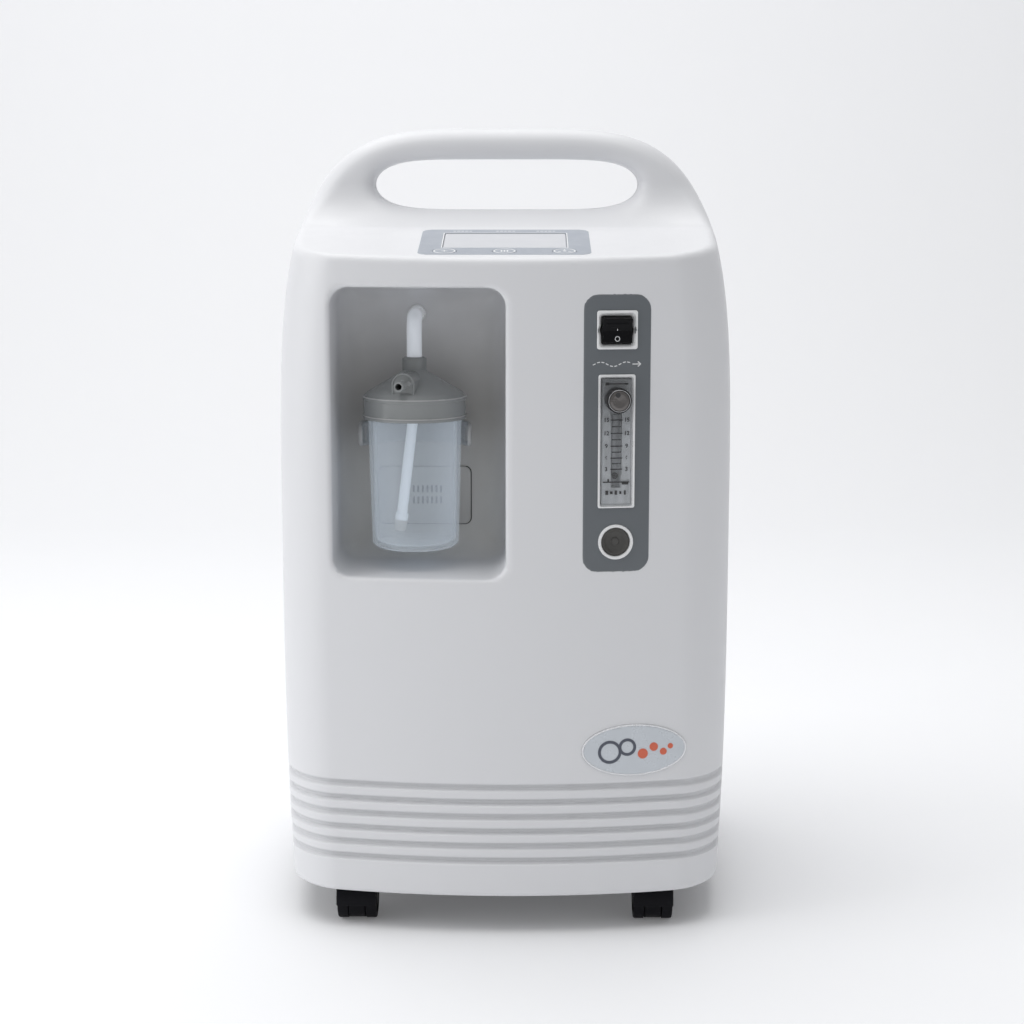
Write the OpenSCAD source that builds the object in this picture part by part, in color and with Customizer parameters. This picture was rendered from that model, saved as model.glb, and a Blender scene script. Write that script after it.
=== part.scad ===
// Oxygen concentrator: a free-standing cabinet on casters with a humidifier bottle in a
// front recess, a flow panel beside it and the air separation plant inside.
// Units are millimetres. X is to the right, the front faces -Y, the floor is Z = 0.

/* [Cabinet] */
// Widest part of the cabinet, at mid height
body_w = 357; // [350:1:358]
// Depth from the front face to the back face
body_d = 330; // [328:1:334]
// Height of the top of the handle above the floor
body_h = 611; // [606:1:616]
// Height of the cabinet's lower edge above the floor
body_z0 = 29.6; // [29:0.1:31]
// Thickness of the moulded shells
wall = 3; // [2.5:0.1:3.2]
// Radius of the bowed front face
front_r = 606; // [580:1:640]
// Radius of the nearly flat back face
back_r = 2400; // [2000:10:3000]
// Radius of the bowed sides
side_r = 860; // [820:1:900]
// Radius of the four upright corners
corner_r = 32; // [30:0.5:36]

/* [Deck and handle] */
// Height of the front edge of the sloping deck
deck_z0 = 514; // [510:1:516]
// Slope of the deck, rising towards the handle
deck_tilt = 10; // [9:0.5:11]
// Depth of the handle arch, front to back
handle_d = 46; // [42:1:50]
// Width of the opening for the hand
grip_w = 211; // [190:1:214]
// Height of the middle of the opening for the hand
grip_z = 567; // [565:0.5:569]
// Clear height of the opening for the hand
grip_h = 39.8; // [36:0.1:41]

/* [Grooves] */
// Number of grooves round the lower body
groove_count = 6; // [4:1:6]
// Height of the middle of the top groove
groove_top_z = 117; // [115:0.5:120]
// Distance between grooves
groove_pitch = 11.52; // [11:0.01:12]
// Height of one groove
groove_h = 4.6; // [4:0.1:5]
// Depth of one groove
groove_depth = 2; // [1.5:0.1:2.2]

/* [Bottle recess] */
// Width of the recess
recess_w = 130; // [126:1:132]
// Height of the recess
recess_h = 216.3; // [212:0.1:220]
// Middle of the recess, left of the centre line
recess_x = -64; // [-66:0.5:-62]
// Middle height of the recess
recess_z = 384.5; // [382:0.5:387]
// Y position of the back wall of the recess
recess_back_y = -60; // [-62:0.5:-58]
// Radius of the recess corners
recess_r = 13; // [10:0.5:16]

/* [Humidifier bottle] */
// Middle of the bottle across the cabinet
bottle_x = -69; // [-70:0.5:-68]
// Middle of the bottle front to back
bottle_y = -105; // [-106:0.5:-104]
// Outside radius of the jar at its mouth
jar_r = 35.8; // [34:0.1:36]
// Underside of the jar
jar_z0 = 292; // [290:0.5:294]
// Lower edge of the lid
lid_z0 = 391; // [390:0.5:392]
// Outside radius of the lid
lid_r = 39.6; // [39:0.1:40.5]

/* [Front panel] */
// Middle of the panel, right of the centre line
panel_x = 82.75; // [81:0.25:84]
// Width of the panel
panel_w = 49.5; // [48:0.5:52]
// Lower end of the panel
panel_z0 = 282; // [280:1:284]
// Upper end of the panel
panel_z1 = 488; // [486:1:490]
// Middle height of the power switch
switch_z = 461.8; // [461:0.1:463]
// Middle height of the flowmeter
meter_z = 379.3; // [378:0.1:381]
// Height of the flow knob
knob_z = 411; // [410:0.5:412]
// Middle height of the round port
port_z = 304.5; // [304:0.5:306]

/* [Casters] */
// Distance of each caster pivot from the centre line
caster_x = 115; // [112:1:116]
// Distance of each caster pivot from mid depth
caster_y = 116; // [113:1:117]
// Radius of the caster wheels
wheel_r = 19; // [18:0.5:19.5]
// Distance of the wheels from the pivot, swung forward as if the cabinet was last pushed back
caster_trail = 10; // [8:0.5:10.5]

/* [Compressor] */
// Height of the crankshaft
crank_z = 130; // [128:1:132]
// Y position of the crankshaft
crank_y = -25; // [-28:1:-22]
// Distance of each cylinder from the centre line
cylinder_x = 70; // [69:1:71]
// Throw of the crankshaft, half of the piston stroke
crank_throw = 6; // [5:0.5:6]

/* [Hidden] */
$fn = 48;

hw = body_w / 2;
hd = body_d / 2;
arch_z0 = 290;             // height where the sides start to close in to the arch
arch_power = 4.12;         // squareness of the arch
skirt_pinch = 5.2;         // how much each side draws in at the lower edge
skirt_h = arch_z0 - body_z0;
deck_z1 = 505;             // height of the rear edge of the deck
grip_power = 6;            // squareness of the ends of the hand opening
grip_points = 48;
eps = 0.01;
gap = 0.2;                 // running clearance between fitted pieces
shelf_z = 230;             // underside of the shelf over the compressor
partition_y = 60;          // front face of the upright partition
sheet = 2;                 // thickness of the chassis sheet
pan_z0 = 32;
pan_t = 4;
well_r = 33;
well_z = 43;               // ceiling of the caster wells
bed_r = 38;
bed_y = 104;
bed_z0 = 70;
bed_h = 280;
fan_x = -80;
fan_y = -5;
fan_size = 120;
fan_h = 38;

// ---------- outline functions ----------

function arc_pts(cx, cy, r, a0, a1, n) =
    [for (i = [0:n]) let (a = a0 + (a1 - a0) * i / n) [cx + r * cos(a), cy + r * sin(a)]];

function rrect_pts(w, h, r, n = 5) = concat(
    arc_pts(w / 2 - r, h / 2 - r, r, 0, 90, n),
    arc_pts(r - w / 2, h / 2 - r, r, 90, 180, n),
    arc_pts(r - w / 2, r - h / 2, r, 180, 270, n),
    arc_pts(w / 2 - r, r - h / 2, r, 270, 360, n));

function oval_pts(a, b, n) = [for (i = [0:n - 1]) [a * cos(360 * i / n), b * sin(360 * i / n)]];

// Centre of the corner circle that touches the end arc (radius er) and the side arc from inside.
function corner_centre(er) = let (
    ex = 0, ey = er - hd, sx = hw - side_r, sy = 0,
    d = norm([sx - ex, sy - ey]),
    p = er - corner_r, q = side_r - corner_r,
    a = (p * p - q * q + d * d) / (2 * d),
    h = sqrt(p * p - a * a),
    ux = (sx - ex) / d, uy = (sy - ey) / d)
    [ex + a * ux - h * uy, ey + a * uy + h * ux];

// One quarter of the plan, from the middle of an end at -Y to the middle of the +X side.
function quarter_pts(er, inset) = let (
    c = corner_centre(er),
    ea = atan2(c[1] - er + hd, c[0]),
    sa = atan2(c[1], c[0] - hw + side_r))
    concat(
        arc_pts(0, er - hd, er - inset, -90, ea, 6),
        arc_pts(c[0], c[1], corner_r - inset, ea + 12, sa - 6, 4),
        arc_pts(hw - side_r, 0, side_r - inset, sa, 0, 3));

function reversed(list) = [for (i = [len(list) - 1:-1:0]) list[i]];
function mirrored_x(list) = [for (p = reversed(list)) [-p[0], p[1]]];
function mirrored_y(list) = [for (p = reversed(list)) [p[0], -p[1]]];

function side_x(z) = hw - skirt_pinch * pow((arch_z0 - z) / skirt_h, 3);
function front_y(x) = front_r - hd - sqrt(front_r * front_r - x * x);
function deck_z(y) = deck_z0 + (y + hd) * tan(deck_tilt);

module rrect(w, h, r, n = 5) polygon(rrect_pts(w, h, r, n));

// ---------- cabinet outlines ----------

module plan_outline(inset = 0) {
    front = quarter_pts(front_r, inset);
    back = mirrored_y(quarter_pts(back_r, inset));
    right = concat(front, back);
    polygon(concat(right, mirrored_x(right)));
}

module front_outline(z0) {
    foot = arc_pts(side_x(z0 + 8) - 8, z0 + 8, 8, -90, 0, 3);
    flank = [for (z = [65:60:arch_z0 - 10]) [side_x(z), z]];
    arch = [for (i = [1:14]) let (t = i * 90 / 14, e = 2 / arch_power)
        [hw * pow(cos(t), e), arch_z0 + (body_h - arch_z0) * pow(sin(t), e)]];
    right = concat(foot, flank, arch);
    polygon(concat(right, mirrored_x(right)));
}

module side_outline(z0) {
    offset(r = -26, $fn = 32) offset(delta = 26) {
        offset(r = 6, $fn = 20) offset(delta = -6)
            polygon([[-hd, z0], [hd, z0], [hd, deck_z1], [0, deck_z(0)], [-hd, deck_z0]]);
        translate([0, (body_h + grip_z) / 2 - 30]) rrect(handle_d, body_h - grip_z + 60, 9);
    }
}

module cabinet_solid(inset = 0, z0 = body_z0) {
    intersection() {
        rotate([90, 0, 0]) linear_extrude(body_d + 20, center = true)
            offset(delta = -inset) front_outline(z0);
        translate([0, 0, z0]) linear_extrude(body_h) plan_outline(inset);
        rotate([90, 0, 90]) linear_extrude(body_w + 20, center = true)
            offset(delta = -inset) side_outline(z0);
    }
}

module front_half() translate([-hw - 5, -hd - 5, 0]) cube([body_w + 10, hd + 5, body_h + 10]);
module rear_half() translate([-hw - 5, 0, 0]) cube([body_w + 10, hd + 5, body_h + 10]);

module grip_opening(grow = 0) {
    outline = [for (i = [0:grip_points - 1]) let (t = 360 * i / grip_points)
        [(grip_w / 2 + grow) * sign(cos(t)) * pow(abs(cos(t)), 2 / grip_power),
        (grip_h / 2 + grow) * sin(t)]];
    translate([0, 0, grip_z]) rotate([90, 0, 0])
        linear_extrude(handle_d + 40, center = true) polygon(outline);
}

module grooves() {
    difference() {
        for (i = [0:groove_count - 1])
            translate([-hw - 5, -hd - 5, groove_top_z - groove_h / 2 - i * groove_pitch])
                cube([body_w + 10, body_d + 10, groove_h]);
        cabinet_solid(groove_depth, -20);
    }
}

// Places children on the front face at x, with local -Y pointing straight out of it.
module on_front(x, z) translate([x, front_y(x), z]) rotate([0, 0, asin(x / front_r)]) children();

// Places children on the deck, with local +Z pointing straight out of it.
module on_deck(x, y) translate([x, y, deck_z(y)]) rotate([deck_tilt, 0, 0]) children();

// A layer that follows the front face between two depths below it.
module front_skin(depth0, depth1, z0, z1) {
    intersection() {
        translate([0, 0, z0]) linear_extrude(z1 - z0) difference() {
            plan_outline(depth0);
            plan_outline(depth1);
        }
        translate([0, -hd, z0]) cube([body_w - 40, 60, 2 * (z1 - z0)], center = true);
    }
}

module panel_prism(grow = 0) {
    translate([panel_x, -hd, (panel_z0 + panel_z1) / 2]) rotate([90, 0, 0])
        linear_extrude(60, center = true)
            rrect(panel_w + 2 * grow, panel_z1 - panel_z0 + 2 * grow, 12 + grow);
}

module panel_cutouts() {
    on_front(panel_x, switch_z) cube([switch_cw + 2 * gap, 60, switch_ch + 2 * gap], center = true);
    on_front(panel_x, meter_z) cube([meter_cw + 2 * gap, 60, meter_ch + 2 * gap], center = true);
    on_front(panel_x, port_z) rotate([90, 0, 0]) cylinder(r = port_r + gap, h = 60, center = true);
}

module recess_prism(grow, y1) {
    translate([recess_x, y1, recess_z]) rotate([90, 0, 0])
        linear_extrude(hd + y1 + 20) rrect(recess_w + 2 * grow, recess_h + 2 * grow, recess_r + grow);
}

// ---------- cabinet ----------

boss_x = 150;
boss_zs = [62, 270, 460];
boss_r = 6;
boss_len = 40;
screw_r = 1.5;
screw_head_r = 4;
screw_bite = 25;           // length of screw inside the front boss

module at_bosses() for (s = [-1, 1], z = boss_zs) translate([s * boss_x, 0, z]) children();

module boss_holes(y0, len, r)
    at_bosses() translate([0, y0, 0]) rotate([-90, 0, 0]) cylinder(r = r, h = len);

// Screw bosses, each tied to the side wall by a rib.
module bosses(y0) {
    boss_holes(y0, boss_len, boss_r);
    intersection() {
        cabinet_solid();
        for (s = [-1, 1], z = boss_zs) translate([s * (boss_x + 15), y0 + boss_len / 2, z])
            cube([30, boss_len, 3], center = true);
    }
}

display_y = -106.5;
display_w = 128;
display_d = 92;
window_w = 93;
window_d = 53;
window_off = 5.5;          // the window sits behind the middle of the overlay
key_xs = [-44.3, 0, 44.3];
key_off = -34;             // the keys sit in front of the window
key_r = 9;

module front_shell() color("#e9eaed") {
    difference() {
        union() {
            intersection() {
                difference() {
                    cabinet_solid();
                    cabinet_solid(wall, -20);
                }
                front_half();
            }
            intersection() {
                cabinet_solid();
                front_half();
                union() {
                    grip_opening(wall);
                    recess_prism(wall, recess_back_y + wall);
                }
            }
            bosses(-boss_len);
        }
        grip_opening();
        recess_prism(0, recess_back_y);
        grooves();
        panel_cutouts();
        intersection() {
            front_skin(-10, 1.3, panel_z0 - 1, panel_z1 + 1);
            panel_prism(gap);
        }
        on_deck(0, display_y) {
            translate([0, 0, 3.7]) linear_extrude(10, center = true)
                rrect(display_w + 2 * gap, display_d + 2 * gap, 8 + gap);
            translate([0, window_off, 0]) cube([window_w, window_d, 20], center = true);
            for (x = key_xs) translate([x, key_off, 0])
                cylinder(r = key_r + gap, h = 20, center = true);
        }
        boss_holes(-screw_bite - 5, screw_bite + 15, screw_r + 0.1);
        translate([bottle_x, recess_back_y, elbow_z]) rotate([90, 0, 0])
            cylinder(r = spigot_r + gap, h = 20, center = true);
        translate([recess_x, recess_back_y, filter_z])
            cube([filter_w + 1, 20, filter_h + 1], center = true);
    }
}

door_z = 425;
door_w = 150;
door_h = 110;
rear_low_z = 160;          // height of the rear vents, the inlet and the breaker
inlet_x = 85;
inlet_w = 27;
inlet_h = 20;
breaker_x = 45;
breaker_r = 5.9;
vent_x0 = -120;
vent_count = 10;
vent_pitch = 12;
vent_w = 5;
vent_h = 44;

module rear_shell() color("#e4e5e9") {
    difference() {
        union() {
            intersection() {
                difference() {
                    cabinet_solid();
                    cabinet_solid(wall, -20);
                }
                rear_half();
            }
            intersection() {
                cabinet_solid();
                rear_half();
                union() {
                    grip_opening(wall);
                    translate([0, hd - 5, door_z])
                        cube([door_w + 2 * wall, 20, door_h + 2 * wall], center = true);
                }
            }
            bosses(0);
        }
        grip_opening();
        grooves();
        translate([0, hd, door_z]) cube([door_w + 1, 20, door_h + 1], center = true);
        translate([0, hd, door_z]) cube([door_w - 20, 60, door_h - 20], center = true);
        translate([inlet_x, hd, rear_low_z])
            cube([inlet_w + 3 * gap, 60, inlet_h + 3 * gap], center = true);
        translate([breaker_x, hd, rear_low_z]) rotate([90, 0, 0])
            cylinder(r = breaker_r + 0.3, h = 60, center = true);
        for (i = [0:vent_count - 1]) translate([vent_x0 + i * vent_pitch, hd, rear_low_z])
            cube([vent_w, 60, vent_h], center = true);
        boss_holes(-10, boss_len + 20, screw_r + 0.8);
        boss_holes(boss_len, hd, screw_head_r + 1);
    }
}

module shell_screws() color("#8f9297") {
    boss_holes(-screw_bite, boss_len + screw_bite + gap, screw_r);
    boss_holes(boss_len + 0.1, 3, screw_head_r);
}

module at_casters() for (sx = [-1, 1], sy = [-1, 1]) translate([sx * caster_x, sy * caster_y, 0])
    children();

module base_pan() color("#6d7076") {
    difference() {
        union() {
            translate([0, 0, pan_z0]) linear_extrude(pan_t) intersection() {
                plan_outline(wall + 1);
                square([2 * side_x(body_z0) - 2 * wall - 2, body_d], center = true);
            }
            at_casters() translate([0, 0, pan_z0]) cylinder(r = 9, h = stem_top - pan_z0 + 3);
            intersection() {
                at_casters() translate([0, 0, pan_z0]) cylinder(r = well_r + 2, h = well_z - pan_z0 + 2);
                linear_extrude(body_h) plan_outline(wall + 1);
            }
        }
        at_casters() {
            cylinder(r = well_r, h = well_z);
            cylinder(r = stem_r + gap, h = stem_top + 10);
        }
        for (i = [-3:3]) translate([i * 14, 75, pan_z0]) cube([6, 60, 20], center = true);
    }
}

// ---------- casters ----------

axle_r = 2.5;
tyre_x = 11.1;             // middle of each of the twin wheels from the middle of the caster
web_w = 12.6;              // the web between the twin wheels
fender_w = 31;
stem_z0 = wheel_r + 10;
stem_r = 5.4;
stem_top = stem_z0 + 32;

module at_axle() translate([0, -caster_trail, wheel_r]) rotate([0, 90, 0]) children();

module caster_fork(sx, sy) color("#1f2024") {
    translate([sx * caster_x, sy * caster_y, 0]) difference() {
        union() {
            translate([0, 0, stem_z0]) cylinder(r = stem_r + 0.9, h = well_z - stem_z0 - 1);
            translate([0, 0, stem_z0]) cylinder(r = stem_r, h = stem_top - stem_z0);
            at_axle() cylinder(r = wheel_r - 1, h = web_w, center = true);
            intersection() {
                at_axle() union() {
                    difference() {
                        cylinder(r = wheel_r + 3, h = fender_w, center = true);
                        cylinder(r = wheel_r + 0.8, h = fender_w + 10, center = true);
                    }
                    cylinder(r = wheel_r + 1.5, h = web_w, center = true);
                }
                translate([0, -caster_trail, wheel_r + 26]) cube([40, 60, 48], center = true);
            }
        }
        at_axle() cylinder(r = axle_r + gap, h = 40, center = true);
    }
}

module caster_wheels(sx, sy) color("#2a2b2f") {
    translate([sx * caster_x, sy * caster_y, 0]) at_axle() {
        cylinder(r = axle_r, h = fender_w - 1, center = true);
        for (s = [-1, 1]) translate([0, 0, s * tyre_x]) {
            cylinder(r = wheel_r, h = 5, center = true);
            cylinder(r = wheel_r - 1.2, h = 8.4, center = true);
        }
    }
}

// ---------- control panel ----------

switch_cw = 26.8;          // collar of the switch bezel
switch_ch = 25;
switch_aw = 22.8;          // opening of the switch bezel
switch_ah = 20.7;
meter_cw = 25.4;           // collar of the flowmeter frame
meter_ch = 97.2;
meter_aw = 22.8;           // opening of the flowmeter frame
meter_ah = 94.6;
port_r = 12.3;             // collar of the port bezel
port_depth = 16;

module control_panel() color("#596064") {
    difference() {
        intersection() {
            front_skin(0.3, 1.25, panel_z0 - 1, panel_z1 + 1);
            panel_prism();
        }
        panel_cutouts();
    }
}

// A square flange in front of a collar that passes through the panel.
module window_frame(w, h, cw, ch, aw, ah, front, depth) {
    rotate([90, 0, 0]) difference() {
        union() {
            translate([0, 0, -0.1]) linear_extrude(front) rrect(w, h, 2);
            translate([0, 0, -depth]) linear_extrude(depth) rrect(cw, ch, 1);
        }
        translate([0, 0, -depth - 1]) linear_extrude(depth + front + 2) rrect(aw, ah, 0.4);
    }
}

module switch_bezel() color("#eeeff1")
    on_front(panel_x, switch_z)
        window_frame(30, 29.3, switch_cw, switch_ch, switch_aw, switch_ah, 1.8, 12);

rocker_pivot_y = 2.5;
rocker_tilt = 7;           // the upper half stands proud when the switch is off
rocker_w = switch_aw - 0.6;
rocker_r = 10.1;

module power_rocker() color("#17181b") {
    on_front(panel_x, switch_z) translate([0, rocker_pivot_y, 0]) rotate([rocker_tilt, 0, 0])
        intersection() {
            rotate([0, 90, 0]) cylinder(r = rocker_r, h = rocker_w, center = true);
            rotate([90, 0, 90]) linear_extrude(rocker_w, center = true)
                polygon([[5, 6], [5, -6], [-4.2, -10.2], [-2.7, 0], [-4.2, 10.2]]);
        }
}

module switch_body() color("#202125") {
    on_front(panel_x, switch_z) {
        translate([0, 19.5, 0]) cube([switch_aw - 2 * gap, 20, switch_ah - 2 * gap], center = true);
        for (z = [-7, 0, 7]) translate([0, 33, z]) cube([6.3, 8, 0.8], center = true);
    }
}

module flowmeter_frame() color("#eeeff1")
    on_front(panel_x, meter_z)
        window_frame(28.2, 100, meter_cw, meter_ch, meter_aw, meter_ah, 1.5, 6);

float_z = 353.4;
float_r = 2.45;
float_bore_y = 6;
float_bore_z = 345;
knob_stem_r = 3;

module flowmeter_block() color("#cfd6da", 0.5) {
    on_front(panel_x, meter_z) difference() {
        translate([0, 8.7, 0]) cube([meter_aw - 2 * gap, 18.6, meter_ah - 2 * gap], center = true);
        translate([0, float_bore_y, float_bore_z - meter_z])
            cylinder(r = float_r + 0.35, h = knob_z - float_bore_z);
        translate([0, -10, knob_z - meter_z]) rotate([-90, 0, 0])
            cylinder(r = knob_stem_r + gap, h = 30);
        translate([0, float_bore_y, float_bore_z - meter_z + 2]) rotate([-90, 0, 0])
            cylinder(r = 1.5, h = 20);
    }
}

module float_ball() color("#202125")
    on_front(panel_x, float_z) translate([0, float_bore_y, 0]) sphere(r = float_r);

knob_ribs = 30;

module flow_knob() color("#9a9da1") {
    on_front(panel_x, knob_z) rotate([90, 0, 0]) difference() {
        union() {
            translate([0, 0, 1]) linear_extrude(10)
                polygon([for (i = [0:2 * knob_ribs - 1]) let (r = i % 2 == 0 ? 9 : 8.6)
                    [r * cos(180 * i / knob_ribs), r * sin(180 * i / knob_ribs)]]);
            translate([0, 0, 10]) cylinder(r = 8, h = 3);
            translate([0, 0, -12]) cylinder(r = knob_stem_r, h = 14);
        }
        translate([0, 5, 12]) cylinder(r = 1, h = 2);
    }
}

module port_bezel() color("#eeeff1") {
    on_front(panel_x, port_z) rotate([90, 0, 0]) {
        difference() {
            union() {
                translate([0, 0, -0.1]) cylinder(r = port_r + 1.05, h = 1.8);
                translate([0, 0, -port_depth]) cylinder(r = port_r, h = port_depth);
            }
            translate([0, 0, 2 - port_depth]) cylinder(r = port_r - 1.4, h = 20);
        }
        difference() {
            translate([0, 0, 2 - port_depth - eps]) cylinder(r = 3, h = 9);
            translate([0, 0, -20]) cylinder(r = 1.6, h = 20);
        }
    }
}

module port_cap() color("#3a3d41") {
    on_front(panel_x, port_z) rotate([90, 0, 0]) {
        difference() {
            translate([0, 0, 3 - port_depth]) cylinder(r = port_r - 1.6, h = port_depth - 4.5);
            translate([0, 0, 2 - port_depth]) cylinder(r = 4.2, h = port_depth - 5.5);
        }
        translate([0, 0, -0.8]) cube([3, 13, 1.6], center = true);
    }
}

badge_x = 98.4;
badge_z = 144;
badge_w = 80;
badge_h = 40.2;

module badge_plate() color("#b6babe") {
    intersection() {
        front_skin(-1, 0, badge_z - badge_h, badge_z + badge_h);
        translate([badge_x, -hd, badge_z]) rotate([90, 0, 0])
            linear_extrude(60, center = true) polygon(oval_pts(badge_w / 2, badge_h / 2, 40));
    }
}

// ---------- display ----------

module display_overlay() color("#b0b4bb") {
    on_deck(0, display_y) difference() {
        translate([0, 0, -1.25]) linear_extrude(1) rrect(display_w, display_d, 8);
        translate([0, window_off, 0]) cube([window_w + gap, window_d + gap, 10], center = true);
        for (x = key_xs) translate([x, key_off, -5]) cylinder(r = key_r + gap, h = 10);
    }
}

module display_window() color("#dadbdf") {
    on_deck(0, display_y) translate([0, window_off, -2.2]) {
        cube([window_w - gap, window_d - gap, 3], center = true);
        translate([0, 0, -4]) cube([window_w - 4, window_d - 4, 5.2], center = true);
    }
}

module display_key(x) color("#a6aab1") {
    on_deck(0, display_y) translate([x, key_off, 0]) {
        translate([0, 0, -3]) cylinder(r = key_r, h = 2.9);
        translate([0, 0, -6.4]) cylinder(r = 2, h = 4);
    }
}

module display_board() color("#2f6b4a") {
    thick = 1.6;
    plug = 10;
    plug_y = window_off + window_d / 2 + plug / 2 - 1;    // just behind the window's rear edge
    on_deck(0, display_y) translate([0, 0, -11]) {
        cube([window_w + 27, display_d - 8, thick], center = true);
        for (x = key_xs) translate([x, key_off, thick]) cube([6, 6, 2], center = true);
        translate([40, plug_y, thick]) cube([plug, plug, 3], center = true);
    }
}

// ---------- humidifier bottle ----------

module at_bottle(z) translate([bottle_x, bottle_y, z]) children();

module bottle_jar() color("#a8b2bd", 0.5) {
    foot_r = 33.4;
    at_bottle(0) rotate_extrude($fn = 64) polygon([
        [0, jar_z0 + 1], [foot_r - 10, jar_z0 + 1], [foot_r - 8, jar_z0], [foot_r - 5, jar_z0],
        [foot_r - 1.5, jar_z0 + 1.8], [foot_r, jar_z0 + 6], [jar_r, lid_z0 - 0.3],
        [jar_r - 1.6, lid_z0 - 0.3], [jar_r - 1.6, lid_z0 + 9], [jar_r - 4, lid_z0 + 9],
        [jar_r - 4, lid_z0 - 4], [foot_r - 2.4, jar_z0 + 8], [foot_r - 5, jar_z0 + 4],
        [0, jar_z0 + 4]]);
}

outlet_turn = -12;
outlet_z = lid_z0 + 28;
outlet_r = 4;

module bottle_lid() color("#5f6164") {
    at_bottle(0) difference() {
        union() {
            rotate_extrude($fn = 64) polygon([
                [3.5, lid_z0 + 11], [3.5, lid_z0 + 40], [6, lid_z0 + 40], [6, lid_z0 + 47],
                [7.2, lid_z0 + 47], [8.8, lid_z0 + 44], [8.8, lid_z0 + 36], [12, lid_z0 + 34],
                [lid_r - 5, lid_z0 + 21], [lid_r - 1, lid_z0 + 17.5], [lid_r, lid_z0 + 16],
                [lid_r, lid_z0], [jar_r - 1.2, lid_z0], [jar_r - 1.2, lid_z0 + 11]]);
            rotate([0, 0, outlet_turn]) translate([0, -10, outlet_z]) rotate([90, 0, 0]) {
                linear_extrude(24) polygon(concat([[-9, -12], [9, -12]], arc_pts(0, 0, 9, 0, 180, 9)));
                translate([0, 0, 23]) cylinder(r = outlet_r, h = 13);
            }
        }
        rotate([0, 0, outlet_turn]) translate([0, -14, outlet_z]) {
            rotate([90, 0, 0]) cylinder(r = 2.5, h = 60);
            translate([0, -1, -30]) cylinder(r = 2, h = 31);
        }
    }
}

module lid_gasket() color("#c9ccd0") {
    at_bottle(lid_z0 + 9.1) difference() {
        cylinder(r = jar_r - 1.7, h = 1.8);
        translate([0, 0, -1]) cylinder(r = jar_r - 6, h = 4);
    }
}

dip_lean = 7;
dip_z1 = lid_z0 + 10.6;
dip_len = 90;

module dip_frame() at_bottle(dip_z1) rotate([0, dip_lean, 0]) children();

module dip_tube() color("#d3dbe2", 0.6) {
    dip_frame() translate([0, 0, -dip_len]) difference() {
        union() {
            cylinder(r = 4, h = dip_len - 1.2);
            cylinder(r = 5, h = 5);
        }
        translate([0, 0, -1]) cylinder(r = 2.8, h = dip_len + 4);
    }
}

module diffuser() color("#e6e9ec")
    dip_frame() translate([0, 0, -dip_len - 8.2]) cylinder(r1 = 4.4, r2 = 5, h = 8);

elbow_r = 13;              // bend radius
elbow_z = 468;
elbow_z0 = lid_z0 + 40.2;
tube_r = 5.85;
tube_bore_r = 3.7;

// Upright run, quarter bend and level run of one round section.
module elbow_run(r, y1) {
    translate([0, 0, elbow_z0]) cylinder(r = r, h = elbow_z - elbow_r - elbow_z0);
    translate([0, elbow_r, elbow_z - elbow_r]) rotate([90, 0, -90])
        rotate_extrude(angle = 90) translate([elbow_r, 0]) circle(r = r);
    translate([0, elbow_r, elbow_z]) rotate([-90, 0, 0]) cylinder(r = r, h = y1 - elbow_r);
}

module elbow_tube() color("#e4e9ee", 0.7) {
    reach = recess_back_y - bottle_y - 2;
    at_bottle(0) difference() {
        elbow_run(tube_r, reach);
        elbow_run(tube_bore_r, reach + 20);
        translate([0, 0, elbow_z0 - 1]) cylinder(r = tube_bore_r, h = 2);
    }
}

spigot_r = 6;
flange_r = 7.2;

module wall_spigot() color("#d9dce0") {
    translate([bottle_x, recess_back_y, elbow_z]) rotate([90, 0, 0]) difference() {
        union() {
            translate([0, 0, -20]) cylinder(r = tube_bore_r - gap, h = 38);
            cylinder(r = flange_r, h = 1.6);
            translate([0, 0, -wall]) cylinder(r = spigot_r, h = wall);
            translate([0, 0, -wall - 4]) cylinder(r = flange_r, h = 4);
        }
        translate([0, 0, -30]) cylinder(r = 2.2, h = 60);
    }
}

clip_z = 378;
clip_h = 22;
clip_r0 = jar_r + 0.4;
clip_r1 = jar_r + 8.3;

module bottle_clip() color("#5a5d61") {
    at_bottle(clip_z) difference() {
        union() {
            intersection() {
                cylinder(r = clip_r1, h = clip_h, center = true);
                translate([0, 30, 0]) cube([100, 60, 40], center = true);
            }
            for (s = [-1, 1]) translate([s * (clip_r0 + clip_r1) / 2, 0, 0])
                cylinder(d = clip_r1 - clip_r0 - 0.1, h = clip_h, center = true);
            translate([0, 42, 0]) cube([40, 6, clip_h], center = true);
        }
        cylinder(r = clip_r0, h = clip_h + 8, center = true);
    }
}

filter_z = 324.5;
filter_w = 55;
filter_h = 36;

module filter_cover() color("#b9bcc0") {
    translate([recess_x, recess_back_y - 0.9, filter_z]) rotate([90, 0, 0]) difference() {
        linear_extrude(1.8, center = true) rrect(filter_w + 19, filter_h + 11, 5);
        for (i = [-3:3], z = [-4, 5]) translate([2 + i * 3.6, z, 0]) cube([1.4, 6, 5], center = true);
    }
}

module hepa_filter() color("#eceeea") {
    translate([recess_x, recess_back_y + 12.2, filter_z]) {
        cube([filter_w, 24, filter_h], center = true);
        translate([0, 16, 0]) rotate([90, 0, 0]) cylinder(r = 5, h = 9, center = true);
    }
}

// ---------- rear fittings ----------

module intake_door() color("#dadce0") {
    translate([0, hd - 4, door_z]) difference() {
        cube([door_w, 4, door_h], center = true);
        for (i = [-5:5]) translate([0, 0, i * 8]) cube([door_w - 30, 10, 3.6], center = true);
        translate([0, 2, -door_h / 2 + 5]) cube([24, 3, 6], center = true);
    }
}

module foam_filter() color("#35373b")
    translate([0, hd - 8, door_z]) cube([door_w - 6, 3.8, door_h - 6], center = true);

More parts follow.
